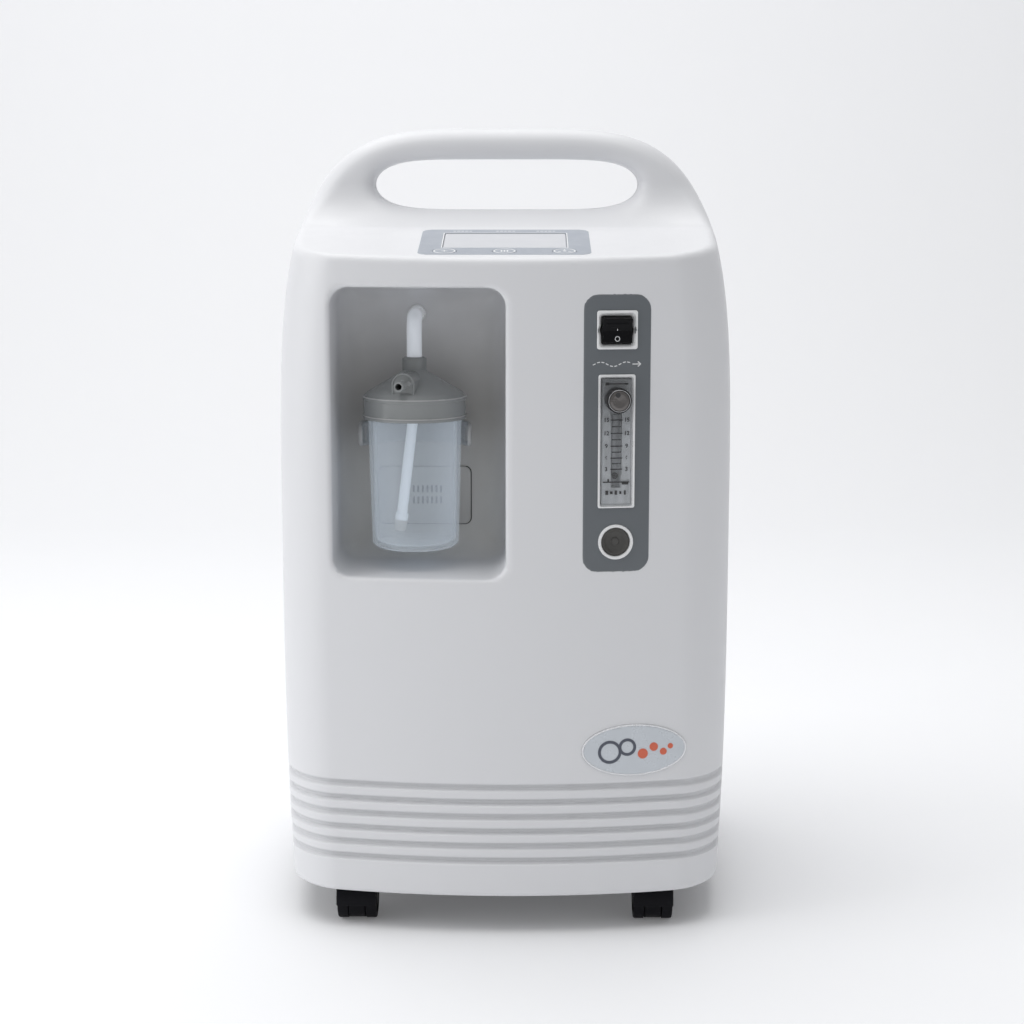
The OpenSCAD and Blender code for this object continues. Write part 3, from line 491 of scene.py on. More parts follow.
def make_solid(piece):
    """Welds coincident points, drops collapsed faces and turns every face outward."""
    work = bmesh.new()
    work.from_mesh(piece.data)
    bmesh.ops.remove_doubles(work, verts=work.verts, dist=0.02 * MM)
    bmesh.ops.recalc_face_normals(work, faces=work.faces)
    work.to_mesh(piece.data)
    work.free()
    piece.data.set_sharp_from_angle(angle=SMOOTH_ANGLE)


def arc_path(start, bends, step):
    """A path with a rounded corner at each (corner, radius) of bends; the last one is the end."""
    path = [Vector(start)]
    corners = [Vector(start)] + [Vector(c) for c, _ in bends]
    for i in range(1, len(corners) - 1):
        here, r = corners[i], bends[i - 1][1]
        a = (corners[i - 1] - here).normalized() * r
        b = (corners[i + 1] - here).normalized() * r
        for k in range(step + 1):
            t = k / step * math.pi / 2
            path.append(here + a * (1 - math.sin(t)) + b * (1 - math.cos(t)))
    path.append(corners[-1])
    return path


def sweep(name, path, outer, inner, segments):
    """A round tube of the two radii along a path of points, in metres."""
    verts, faces = [], []
    side = Vector((1, 0, 0))
    rings = []
    for i, here in enumerate(path):
        ahead = path[min(i + 1, len(path) - 1)] - path[max(i - 1, 0)]
        ahead.normalize()
        side = (side - ahead * side.dot(ahead)).normalized()
        up = ahead.cross(side)
        rings.append((here, side, up))
    order = [(r, outer) for r in rings] + [(r, inner) for r in reversed(rings)]
    for (here, u, v), radius in order:
        for k in range(segments):
            a = 2 * math.pi * k / segments
            verts.append(here + (u * math.cos(a) + v * math.sin(a)) * radius)
    count = len(order)
    for i in range(count):
        for k in range(segments):
            n = (k + 1) % segments
            a, b = i * segments, (i + 1) % count * segments
            faces.append((a + k, a + n, b + n, b + k))
    piece = mesh_piece(name, verts, faces)
    make_solid(piece)
    return piece


def mould(name, field, lines, at, *look):
    """Meshes a field drawn in the local frame called at, and dresses it with look."""
    dress(place(field_piece(name, field, lines), at), *look)


def turn(name, outline, at, *look, segments=96, ripple=0, ripple_count=0):
    """Revolves an outline about the local Z of the frame called at, and dresses it with look."""
    dress(place(revolve(name, outline, segments, ripple, ripple_count), at), *look)


# ---------- flat printed marks ----------

def ring_loop(x, y, r, count=40):
    return [(x + r * math.cos(2 * math.pi * i / count), y + r * math.sin(2 * math.pi * i / count))
            for i in range(count)]


def bar_loop(x, y, w, h, turn=0.0):
    c, s = math.cos(math.radians(turn)), math.sin(math.radians(turn))
    corners = ((-w / 2, -h / 2), (w / 2, -h / 2), (w / 2, h / 2), (-w / 2, h / 2))
    return [(x + u * c - v * s, y + u * s + v * c) for u, v in corners]


def prints(name, loops, rings, thick):
    """Thin raised print in the local XY plane, in mm: filled loops, and (outer, inner) ring pairs."""
    work = bmesh.new()
    for loop in loops:
        base = [work.verts.new((u * MM, v * MM, -0.05 * MM)) for u, v in loop]
        top = [work.verts.new((u * MM, v * MM, thick * MM)) for u, v in loop]
        work.faces.new(list(reversed(base)))
        work.faces.new(top)
        for i in range(len(loop)):
            n = (i + 1) % len(loop)
            work.faces.new((base[i], base[n], top[n], top[i]))
    for outer, inner in rings:
        levels = [[work.verts.new((u * MM, v * MM, h * MM)) for u, v in loop]
                  for loop, h in ((outer, -0.05), (outer, thick), (inner, thick), (inner, -0.05))]
        for a, b in zip(levels, levels[1:] + levels[:1]):
            for i in range(len(a)):
                n = (i + 1) % len(a)
                work.faces.new((a[i], a[n], b[n], b[i]))
    bmesh.ops.recalc_face_normals(work, faces=work.faces)
    mesh = bpy.data.meshes.new(name)
    work.to_mesh(mesh)
    work.free()
    return add_object(name, mesh)


def stamp(name, loops, rings, thick, at, *look):
    """Prints marks in the local frame called at, and dresses them with look."""
    dress(place(prints(name, loops, rings, thick), at), *look)


def number(name, text, x, y, height, matrix):
    """A dial number standing on the local XY plane, centred at x, y in mm."""
    data = bpy.data.curves.new(name, "FONT")
    data.body = text
    data.size = height * 1.35 * MM
    data.extrude = 0.05 * MM
    data.offset = 0.1 * MM
    data.align_x = "CENTER"
    data.align_y = "CENTER"
    piece = add_object(name, data)
    piece.matrix_world = matrix @ Matrix.Translation((x * MM, y * MM, 0.04 * MM))
    return piece


# ---------- materials ----------

class Graph:
    """A material's node tree with short calls for the nodes used here."""

    def __init__(self, name):
        self.material = bpy.data.materials.new(name)
        self.material.use_nodes = True
        self.tree = self.material.node_tree
        self.shader = self.tree.nodes["Principled BSDF"]
        self.output = self.tree.nodes["Material Output"]
        self.where = self.add("ShaderNodeTexCoord").outputs["Object"]

    def add(self, kind, **inputs):
        node = self.tree.nodes.new(kind)
        for key, value in inputs.items():
            node.inputs[key.replace("_", " ")].default_value = value
        return node

    def link(self, source, node, key):
        self.tree.links.new(source, node.inputs[key])

    def surface(self, **inputs):
        """Sets inputs of the shader itself."""
        for key, value in inputs.items():
            self.shader.inputs[key.replace("_", " ")].default_value = value

    def axes(self, source):
        """The parts of a vector, by the letter of their axis."""
        split = self.add("ShaderNodeSeparateXYZ")
        self.link(source, split, "Vector")
        return split.outputs

    def times(self, a, b):
        node = self.add("ShaderNodeMath")
        node.operation = "MULTIPLY"
        self.link(a, node, 0)
        self.link(b, node, 1)
        return node.outputs[0]

    def overlay(self, fac, color):
        """Lays a colour over the base colour where fac is 1."""
        base = self.shader.inputs["Base Color"].links[0].from_socket
        self.link(self.blend(fac, base, color), self.shader, "Base Color")

    def noise(self, scale, detail=3.0, stretch=None):
        node = self.add("ShaderNodeTexNoise", Scale=scale, Detail=detail)
        source = self.where
        if stretch:
            mapping = self.add("ShaderNodeMapping", Scale=stretch)
            self.link(source, mapping, "Vector")
            source = mapping.outputs["Vector"]
        self.link(source, node, "Vector")
        return node.outputs["Fac"]

    def remap(self, source, a, b, c, d):
        node = self.add("ShaderNodeMapRange", From_Min=a, From_Max=b, To_Min=c, To_Max=d)
        self.link(source, node, "Value")
        return node.outputs["Result"]

    def blend(self, fac, a, b):
        """Colour a where fac is 0 and b where it is 1; a may be a socket."""
        node = self.tree.nodes.new("ShaderNodeMix")
        node.data_type = "RGBA"
        self.link(fac, node, "Factor")
        for key, value in (("A", a), ("B", b)):
            socket = [i for i in node.inputs if i.name == key and i.type == "RGBA"][0]
            if isinstance(value, tuple):
                socket.default_value = (*value, 1)
            else:
                self.tree.links.new(value, socket)
        return [o for o in node.outputs if o.type == "RGBA"][0]


def tinted(color, factor):
    return tuple(min(1.0, c * factor) for c in color)


def crease_share(g, strength):
    """How much painted shade darkens a crease: only tight hollows whose surface faces sideways or down."""
    hollow = g.add("ShaderNodeAmbientOcclusion", Distance=9 * MM)
    hollow.samples = 6
    tight = g.remap(hollow.outputs["AO"], 0.35, 0.92, strength, 0.0)
    facing = g.axes(g.add("ShaderNodeNewGeometry").outputs["Normal"])
    return g.times(tight, g.remap(facing["Z"], 0.05, 0.4, 1.0, 0.0))


def finish(name, color, rough, metal=0.0, grain=1100, depth=0.05, mottle=0.03, wear=0.06,
           coat=0.0, stretch=None, shine=0.5, crease_shade=0.0):
    """A solid finish: colour drift, fine grain, roughness drift, rubbed edges and painted shade in creases.
    """
    g = Graph(name)
    broad = g.noise(9, 4)
    fine = g.noise(grain, 2, stretch)
    base = g.blend(broad, tinted(color, 1 - mottle), tinted(color, 1 + mottle))
    edge = g.remap(g.add("ShaderNodeNewGeometry").outputs["Pointiness"], 0.52, 0.62, 0.0, wear)
    base = g.blend(edge, base, tuple(0.5 * c + 0.5 for c in color))
    # painted shade: tight creases and overhangs darkened through an occlusion mask
    if crease_shade:
        base = g.blend(crease_share(g, crease_shade), base, tinted(color, 0.22))
    g.link(base, g.shader, "Base Color")
    spread = 0.07
    g.link(g.remap(g.noise(60, 5), 0.3, 0.7, rough - spread, rough + spread), g.shader, "Roughness")
    bump = g.add("ShaderNodeBump", Strength=depth, Distance=0.3 * MM)
    g.link(fine, bump, "Height")
    g.link(bump.outputs["Normal"], g.shader, "Normal")
    g.surface(Specular_IOR_Level=shine, Metallic=metal, Coat_Weight=coat, Coat_Roughness=0.08)
    return g


def paint(*look, **detail):
    """A finish used as it is."""
    return finish(*look, **detail).material


def veil(name, color, opacity, rough, rim=0.35, painted_glow=0.0):
    """A thin clear or milky plastic: part of the light passes through, and an emission, a painted glow,
    stands in for light scattered inside it.
    """
    g = finish(name, color, rough, grain=500, depth=0.03, mottle=0.02, wear=0.0, coat=0.4)
    # painted glow: the plastic emits light of its own colour
    g.surface(Emission_Color=(*color, 1), Emission_Strength=painted_glow)
    passing = tuple(1 - 0.1 * (1 - c) for c in color)
    clear = g.add("ShaderNodeBsdfTransparent", Color=(*passing, 1))
    facing = g.add("ShaderNodeLayerWeight", Blend=0.35).outputs["Facing"]
    share = g.remap(facing, 0.0, 1.0, opacity, min(1.0, opacity + rim))
    mix = g.add("ShaderNodeMixShader")
    g.link(share, mix, "Fac")
    g.link(clear.outputs["BSDF"], mix, 1)
    g.link(g.shader.outputs["BSDF"], mix, 2)
    g.link(mix.outputs["Shader"], g.output, "Surface")
    return g.material


def shaded_bay(g):
    """Paints shade onto the back of the bottle bay, where the moulding lies in shade: darker at mid-height,
    lighter at the top and foot, with patches of painted shadow.
    """
    part = g.axes(g.where)
    share = g.remap(part["Y"], RECESS_LOW.y - 24 * MM, RECESS_LOW.y - 1 * MM, 0.0, 1.0)
    edges = (("Y", RECESS_LOW.y + 4 * MM, RECESS_LOW.y + 1 * MM),
             ("X", RECESS_LOW.x - 2 * MM, RECESS_LOW.x), ("X", RECESS_HIGH.x + 2 * MM, RECESS_HIGH.x),
             ("Z", RECESS_LOW.z - 2 * MM, RECESS_LOW.z), ("Z", RECESS_HIGH.z + 2 * MM, RECESS_HIGH.z))
    for axis, outside, inside in edges:
        share = g.times(share, g.remap(part[axis], outside, inside, 0.0, 1.0))
    height = RECESS_HIGH.z - RECESS_LOW.z
    fall = g.remap(part["Z"], RECESS_LOW.z, RECESS_LOW.z + 0.5 * height, 0.0, 1.0)
    rise = g.remap(part["Z"], RECESS_LOW.z + 0.55 * height, RECESS_HIGH.z, 0.0, 1.0)
    # painted shade: dark at mid-height, light at the top and the foot
    painted_bay_shade = g.blend(fall, (0.80, 0.79, 0.76), (0.50, 0.49, 0.47))
    painted_bay_shade = g.blend(rise, painted_bay_shade, (0.86, 0.87, 0.89))
    # painted shadow: noise patches of darker grey beside the bottle
    cloud = g.remap(g.noise(14, 3), 0.35, 0.7, 0.0, 0.35)
    painted_bay_shade = g.blend(cloud, painted_bay_shade, (0.40, 0.40, 0.40))
    g.overlay(share, painted_bay_shade)
    return g.material


def meter_material():
    """Smoky backing of the flowmeter, with painted shade darkening the top and pale at the foot."""
    g = finish("meter_back", (0.56, 0.58, 0.60), 0.35, grain=300, depth=0.1, mottle=0.12)
    low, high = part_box("flowmeter_frame")
    rise = g.remap(g.axes(g.where)["Z"], low.z, high.z, 0.0, 1.0)
    # painted shade: the upper half darkens, as if shaded by the frame walls
    painted_top_shade = g.remap(rise, 0.5, 1.0, 0.0, 0.8)
    cloud = g.remap(g.noise(120, 4, (1.6, 1, 0.5)), 0.35, 0.7, 0.0, 0.35)
    g.overlay(painted_top_shade, (0.10, 0.105, 0.11))
    g.overlay(cloud, (0.16, 0.165, 0.17))
    return g.material


SHELL_COLOR = (0.76, 0.765, 0.785)
# the shell colour carries painted shade in its creases and at the back of the bottle bay
shell_white = shaded_bay(finish("shell_white", SHELL_COLOR, 0.42, grain=1500, depth=0.06, mottle=0.008,
                                wear=0.10, crease_shade=0.8))
trim_white = paint("trim_white", (0.84, 0.845, 0.85), 0.3, depth=0.02, wear=0.1)
door_white = paint("door_white", SHELL_COLOR, 0.45, grain=1500, depth=0.06, mottle=0.01)
panel_grey = paint("panel_grey", (0.136, 0.150, 0.163), 0.38, grain=2200, depth=0.05, mottle=0.05,
                   wear=0.12)
black_gloss = paint("black_gloss", (0.005, 0.005, 0.006), 0.28, depth=0.02, wear=0.01, shine=0.12)
black_nylon = paint("black_nylon", (0.006, 0.006, 0.008), 0.4, grain=900, depth=0.08, wear=0.01, shine=0.1)
wheel_rubber = paint("wheel_rubber", (0.008, 0.008, 0.010), 0.6, grain=700, depth=0.2, mottle=0.12,
                     wear=0.02, shine=0.1)
cap_rubber = paint("cap_rubber", (0.075, 0.073, 0.068), 0.55, grain=500, depth=0.15, mottle=0.12)
lid_grey = paint("lid_grey", (0.255, 0.268, 0.270), 0.2, grain=800, depth=0.03, mottle=0.04, wear=0.0,
                 coat=0.35)
clip_grey = paint("clip_grey", (0.40, 0.405, 0.41), 0.3, grain=800, depth=0.05, wear=0.2)
# the filter cover's white plastic, greyed with painted shade to match the shaded bay it sits in
clip_white = paint("clip_white", (0.56, 0.55, 0.53), 0.45, grain=1500, depth=0.06)
overlay_grey = paint("overlay_grey", (0.36, 0.39, 0.44), 0.36, grain=2200, depth=0.04, mottle=0.03)
lens_pale = paint("lens_pale", (0.60, 0.61, 0.64), 0.35, grain=600, depth=0.01, mottle=0.02, coat=0.2)
badge_silver = paint("badge_silver", (0.60, 0.635, 0.675), 0.3, metal=0.2, grain=1800, depth=0.05,
                     mottle=0.03)
badge_rim = paint("badge_rim", (0.80, 0.81, 0.83), 0.22, metal=0.3, wear=0.1)
knob_steel = paint("knob_steel", (0.62, 0.62, 0.63), 0.17, metal=1.0, grain=900, depth=0.05,
                   stretch=(1, 1, 14))
knob_black = paint("knob_black", (0.012, 0.012, 0.013), 0.35, grain=900, depth=0.1, shine=0.3)
knob_face = paint("knob_face", (0.17, 0.16, 0.155), 0.3, metal=0.85, grain=70, depth=0.5,
                  mottle=0.35, stretch=(1, 1, 6))
print_white = paint("print_white", (0.78, 0.79, 0.80), 0.5, depth=0.02)
print_black = paint("print_black", (0.015, 0.015, 0.017), 0.5, depth=0.02)
print_orange = paint("print_orange", (0.68, 0.13, 0.06), 0.45, depth=0.02)
print_slate = paint("print_slate", (0.06, 0.07, 0.10), 0.45, depth=0.02)
screw_zinc = paint("screw_zinc", (0.45, 0.45, 0.46), 0.32, metal=1.0, grain=900, depth=0.06)
sheet_zinc = paint("sheet_zinc", (0.50, 0.51, 0.53), 0.38, metal=0.9, grain=250, depth=0.05, mottle=0.10)
cast_alloy = paint("cast_alloy", (0.46, 0.465, 0.47), 0.5, metal=0.85, grain=600, depth=0.25, mottle=0.08)
motor_black = paint("motor_black", (0.03, 0.031, 0.034), 0.35, grain=500, depth=0.15)
tank_alloy = paint("tank_alloy", (0.55, 0.56, 0.57), 0.34, metal=0.9, grain=300, depth=0.06,
                   stretch=(12, 12, 1))
copper = paint("copper", (0.66, 0.30, 0.17), 0.28, metal=1.0, grain=400, depth=0.05, mottle=0.12)
board_green = paint("board_green", (0.02, 0.13, 0.06), 0.4, grain=300, depth=0.12, mottle=0.2, coat=0.3)
foam_black = paint("foam_black", (0.02, 0.02, 0.022), 0.95, grain=420, depth=1.0, mottle=0.3)
soft_white = paint("soft_white", (0.66, 0.67, 0.66), 0.7, grain=500, depth=0.2)
pan_grey = paint("pan_grey", (0.10, 0.105, 0.115), 0.5, grain=900, depth=0.1, mottle=0.06)
# painted shadow: a dark colour for the sheet seen through the gap round the filter cover
seam_dark = paint("seam_dark", (0.05, 0.05, 0.05), 0.7)
meter_back = meter_material()
# jar, elbow tube and dip tube carry a painted glow from emission
jar_veil = veil("jar_veil", (0.78, 0.85, 0.92), 0.13, 0.12, rim=0.45, painted_glow=0.13)
tube_veil = veil("tube_veil", (0.84, 0.87, 0.91), 0.66, 0.2, painted_glow=0.16)
dip_veil = veil("dip_veil", (0.86, 0.91, 0.96), 0.75, 0.3, painted_glow=0.15)
acrylic_veil = veil("acrylic_veil", (0.9, 0.92, 0.94), 0.05, 0.05, rim=0.4)
hose_veil = veil("hose_veil", (0.70, 0.75, 0.80), 0.7, 0.3)

# ---------- shells ----------

X_LINES = grid_lines(-182, (-128, 2.5), (-104, 3.5), (-12, 5), (12, 3), (50, 6), (115, 4.5), (128, 4.5),
                     (182, 2.5))
Z_LINES = grid_lines(26, (45, 1.4), (123, 0.7), (268, 6), (300, 2.5), (470, 5), (500, 2.5), (616, 2.5))


def build_shells():
    front_y_lines = grid_lines(-170, (-105, 2.5), (-82, 5), (-50, 3), (-8, 3.5), (-2, 2), (1, 0.75))
    rear_y_lines = grid_lines(-1, (2, 0.75), (8, 2), (40, 3.5), (105, 5.5), (170, 2.5))
    front = field_piece("front_shell_skin", front_shell_field, (X_LINES, front_y_lines, Z_LINES))
    dress(front, "cabinet", "shell_plastic", shell_white, "front_shell")
    rear = field_piece("rear_shell_skin", rear_shell_field, (X_LINES, rear_y_lines, Z_LINES))
    dress(rear, "cabinet", "shell_plastic", shell_white, "rear_shell")


def build_pan():
    """The floor of the cabinet with a well and a socket over each caster."""
    low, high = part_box("base_pan")
    axles = [middle(f"caster_{corner}_wheels") for corner in CORNERS]
    pivots = [(axle.x, axle.y + CASTER_TRAIL) for axle in axles]
    well_top = 43 * MM
    vent_y = 75 * MM

    def field(x, y, z):
        inside = walls_field(x, y, z) + 6 * MM
        d = np.maximum(inside, np.maximum(low.z - z, z - low.z - 4 * MM))
        for px, py in pivots:
            r = np.hypot(x - px, y - py)
            d = np.minimum(d, np.maximum(r - 35 * MM, np.maximum(low.z - z, z - well_top - 2 * MM)))
            d = np.minimum(d, np.maximum(r - 9 * MM, slab(z, low.z, high.z)))
        d = np.maximum(d, inside)
        for px, py in pivots:
            r = np.hypot(x - px, y - py)
            d = np.maximum(d, -np.maximum(r - 33 * MM, z - well_top))
            d = np.maximum(d, 5.8 * MM - r)
        slot_x = np.clip(np.round(x / (14 * MM)), -3, 3) * 14 * MM
        return np.maximum(d, -rect_field(x - slot_x, y - vent_y, *mm(3, 30, 2.5)))

    lines = (np.arange(-170 * MM, 171 * MM, 2.4 * MM), np.arange(-170 * MM, 171 * MM, 2.4 * MM),
             np.arange(low.z - 2 * MM, high.z + 2 * MM, 1.5 * MM))
    dress(field_piece("base_pan_moulding", field, lines), "cabinet", "pan_plastic", pan_grey, "base_pan")


# ---------- control panel ----------

def skin_layer(x, y, z, low, high):
    """Distance to a layer that follows the front face, from low to high above it."""
    d = walls_field(x, y, z)
    return np.abs(d - (low + high) / 2) - (high - low) / 2


def build_panel_film():
    low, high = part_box("control_panel")
    mid_x, mid_z = (low.x + high.x) / 2, (low.z + high.z) / 2
    half_w, half_h = high.x - mid_x + 0.3 * MM, high.z - mid_z + 0.3 * MM

    def field(x, y, z):
        edge = rect_field(x - mid_x, z - mid_z, half_w, half_h, 12 * MM)
        d = round_max(skin_layer(x, y, z, -0.8 * MM, 0.25 * MM), edge, 0.25 * MM)
        for hole in FRONT_HOLES:
            d = np.maximum(d, -hole(x, y, z))
        return d

    lines = (np.arange(low.x - 2 * MM, high.x + 2.5 * MM, 1.5 * MM),
             np.arange(low.y - 2 * MM, high.y + 2 * MM, 0.35 * MM),
             np.arange(low.z - 2 * MM, high.z + 2.5 * MM, 1.5 * MM))
    dress(field_piece("control_panel_film", field, lines), "cabinet", "panel_film", panel_grey,
          "control_panel")
    wave = [bar_loop(-17 + 3.2 * i, 1.6 * math.sin(i * 1.05), 2.2, 0.7, 25 * math.cos(i * 1.05))
            for i in range(9)]
    arrow = [bar_loop(14.5, 0, 6, 0.7), bar_loop(16.6, 0.9, 3, 0.7, -40), bar_loop(16.6, -0.9, 3, 0.7, 40)]
    z = (middle("switch_bezel").z + middle("flowmeter_frame").z) / 2 + 16.4 * MM
    at = on_front(PANEL_X, z) @ shift(0, -0.25, 0) @ STAND_UP
    stamp("flow_pictogram", wave + arrow, [], 0.12, at, "cabinet", "trim_white", print_white)


def build_switch():
    def bezel(x, y, z):
        outer = rect_field(x, z - 0.3 * MM, *mm(15.1, 14.2, 1.8))
        collar = rect_field(x, z, *mm(13.3, 12.4, 1))
        flange = round_max(outer, slab(y, *mm(-1.8, 0.1)), 0.6 * MM)
        d = np.minimum(flange, np.maximum(collar, slab(y, *mm(-1, 9))))
        taper = 2.4 * MM * (1 - smoothstep(-2.0 * MM, 3.0 * MM, y))
        notch = 1.1 * MM * np.exp(-(z / (2.6 * MM)) ** 2) * (np.abs(z) < 8 * MM)
        well = rect_field(x, z, *mm(11.3, 10.25, 0.8)) - taper - notch
        return round_max(d, -well, 0.3 * MM)

    lines = uniform_lines(mm(-15, -2, -15), mm(15, 9, 15), 0.55 * MM)
    mould("switch_bezel_moulding", bezel, lines, SWITCH_AT,
          "cabinet", "trim_white", trim_white, "switch_bezel")

    tilt = math.radians(7)

    def rocker(x, y, z):
        round_end = np.hypot(y, z) - 10.05 * MM
        face = -y - 3.3 * MM - 0.16 * np.abs(z)
        d = round_max(round_end, face, 0.7 * MM)
        d = round_max(d, y - 4.8 * MM, 0.5 * MM)
        ridge = rect_field(x, z - 4.6 * MM, *mm(8.2, 1, 0.6))
        d = d - 0.4 * MM * (1 - smoothstep(-0.3 * MM, 0.5 * MM, ridge)) * (y < 0)
        bump = 0.9 * MM * np.exp(-(z / (2.2 * MM)) ** 2)
        return round_max(d, np.abs(x) - 11.1 * MM - bump, 0.7 * MM)

    lines = uniform_lines(mm(-11.2, -6, -10.2), mm(11.2, 5, 10.2), 0.5 * MM)
    at = SWITCH_AT @ shift(0, 2.5, 0) @ Matrix.Rotation(tilt, 4, "X")
    mould("power_rocker_cap", rocker, lines, at,
          "power_rocker", "black_plastic", black_gloss, "power_rocker")
    marks = prints("rocker_marks", [bar_loop(0, 0.8, 0.4, 1.4)],
                   [(ring_loop(0, -5.8, 1.9), ring_loop(0, -5.8, 1.45))], 0.06)
    for vert in marks.data.vertices:
        vert.co.z += 3.3 * MM + 0.16 * abs(vert.co.y)
    place(marks, at @ STAND_UP)
    dress(marks, "power_rocker", "trim_white", print_white)


BORE_FOOT_Z = 345 * MM      # foot of the bore that the float rides in
SCALE = {15: 395.8, 12: 385.9, 9: 376.4, 6: 367.5, 3: 359.2}      # heights of the flow figures, mm


def build_flowmeter():
    def frame_shape(x, y, z):
        outer = rect_field(x, z - 0.5 * MM, *mm(13.85, 49.6, 1.6))
        collar = rect_field(x, z, *mm(12.7, 48.6, 1.2))
        flange = round_max(outer, slab(y, *mm(-1.4, 0.1)), 0.5 * MM)
        d = np.minimum(flange, np.maximum(collar, slab(y, *mm(-1, 21))))
        mouth = 0.95 * MM * (1 - smoothstep(1.4 * MM, 1.8 * MM, y))
        well = np.maximum(rect_field(x, z - 0.2 * MM, *mm(11.35, 47.2, 0.7)), y - 18.6 * MM)
        return round_max(d, mouth - well, 0.2 * MM)

    lines = uniform_lines(mm(-14.1, -1.6, -50), mm(14.1, 21, 50), 0.7 * MM)
    mould("flowmeter_surround", frame_shape, lines, METER_AT,
          "cabinet", "trim_white", trim_white, "flowmeter_frame")

    bore_low = BORE_FOOT_Z - METER_AT.translation.z
    bore_high = KNOB_AT.translation.z - METER_AT.translation.z

    def backing(x, y, z):
        front = rect_field(x, z, *mm(12.2, 48.1, 1))
        front = np.maximum(front, slab(y, *mm(0.7, 1.3)))
        body = rect_field(x, z, *mm(11.2, 47.1, 0.5))
        body = np.maximum(body, slab(y, *mm(1, 17.8)))
        d = np.minimum(front, body)
        tube = np.maximum(np.hypot(x, np.maximum(y - 6 * MM, 0)) - 3.3 * MM,
                          slab(z, bore_low, bore_high))
        stem = np.hypot(x, z - bore_high) - 3.6 * MM
        return np.maximum(d, -np.minimum(tube, stem))

    lines = uniform_lines(mm(-12.2, 0.7, -48.1), mm(12.2, 17.8, 48.1), 0.9 * MM)
    mould("flowmeter_backing", backing, lines, METER_AT,
          "cabinet", "acrylic", meter_back, "flowmeter_block")

    def pane(x, y, z):
        edge = rect_field(x, z, *mm(12.2, 48.1, 1))
        d = round_max(edge, slab(y, *mm(-0.6, 0.5)), 0.2 * MM)
        return np.maximum(d, 3.4 * MM - np.hypot(x, z - bore_high))

    lines = uniform_lines(mm(-12.2, -0.6, -48.1), mm(12.2, 0.5, 48.1), 0.7 * MM)
    mould("flowmeter_pane", pane, lines, METER_AT, "cabinet", "acrylic", acrylic_veil)

    face = METER_AT @ shift(0, -0.6, 0) @ STAND_UP
    mid = middle("flowmeter_frame").z / MM
    rows = sorted(z - mid for z in SCALE.values())
    loops = [bar_loop(0, z, 8.8, 0.85) for z in rows]
    loops += [bar_loop(0, (a + b) / 2, 6.8, 0.7) for a, b in zip(rows, rows[1:])]
    loops += [bar_loop(0, rows[-1] + 4.4, 5.2, 0.5), bar_loop(0, rows[0] - 9.6, 20, 0.9)]
    loops += [bar_loop(s * 3.5, (rows[0] + rows[-1]) / 2, 0.4, rows[-1] - rows[0] + 9) for s in (-1, 1)]
    loops += [bar_loop(6.6, rows[0] - 10.6, 5, 1.8), bar_loop(-6, rows[0] - 8.6, 1.2, 2.6)]
    loops += [bar_loop(-7 + 3.4 * i, rows[0] - 17.5, 2.2 - 0.2 * i, 3.2 - 1.1 * (i % 2)) for i in range(5)]
    loops += [bar_loop(0, 43.2, 16, 0.8), bar_loop(-7.2, 43.2, 2.8, 2), bar_loop(7.2, 43.2, 2.6, 1.3)]
    stamp("flow_scale", loops, [], 0.08, face, "cabinet", "black_plastic", print_black)
    for value, z in SCALE.items():
        for side, label in ((-1, "left"), (1, "right")):
            piece = number(f"flow_number_{value}_{label}", str(value), side * 7.6, z - mid, 3.1, face)
            dress(piece, "cabinet", "black_plastic", print_black)


def build_knob():
    body = [(0.02, -10, 0), (3, -10, 0.3), (3, 0.8, 0.1), (8.8, 0.8, 0.4), (9.2, 1.6, 0.3), (9.2, 11.4, 0.4),
            (8.9, 12, 0.3), (8.3, 12, 0.2), (8.3, 10, 0.1), (0.02, 10, 0)]
    turn("flow_knob_turned", body, KNOB_AT @ STAND_UP,
         "flow_knob", "knob_metal", knob_black, "flow_knob", segments=120, ripple=0.12, ripple_count=40)
    ring = [(7.75, 9.9, 0), (8.2, 9.9, 0), (8.2, 12.2, 0.2), (7.75, 12.2, 0.2)]
    turn("flow_knob_ring", ring, KNOB_AT @ STAND_UP, "flow_knob", "knob_metal", knob_steel)
    face = [(0.02, 9.5, 0), (7.3, 9.5, 0.2), (7.3, 12.0, 0.4), (5.2, 12.6, 1.5), (0.02, 12.0, 0)]
    turn("flow_knob_face", face, KNOB_AT @ STAND_UP, "flow_knob", "knob_metal", knob_face, segments=64)
    stamp("flow_knob_dot", [ring_loop(-1.3, 4.4, 1.9)], [], 12.85, KNOB_AT @ STAND_UP,
          "flow_knob", "black_plastic", print_black)


def build_port():
    ring = [(10.9, -13.9, 0), (10.9, 0.6, 0.3), (11.5, 1.65, 0.3), (12.9, 1.65, 0.4), (13.3, -0.1, 0.2),
            (12.3, -0.1, 0), (12.3, -15.8, 0), (1.7, -15.8, 0), (1.7, -5, 0.2), (3, -5, 0.3),
            (3, -13.9, 0.2)]
    turn("port_bezel_ring", ring, PORT_AT @ STAND_UP, "cabinet", "trim_white", trim_white, "port_bezel")
    cap = [(0.02, -3.6, 0), (4.2, -3.6, 0), (4.2, -12.9, 0), (10.6, -12.9, 0), (10.6, -0.8, 0.6),
           (9.2, -0.6, 0.4), (7.2, -2.4, 1.5), (3.4, -3.0, 0.6), (2.6, -2.4, 0.4), (0.02, -2.3, 0)]
    turn("port_cap_moulding", cap, PORT_AT @ STAND_UP, "port_cap", "black_plastic", cap_rubber, "port_cap")


def oval_field(u, v, a, b):
    s = np.maximum(np.hypot(u / a, v / b), 1e-4)
    slope = np.hypot(u / a ** 2, v / b ** 2) / s
    return (s - 1) / np.maximum(slope, 1e-3)


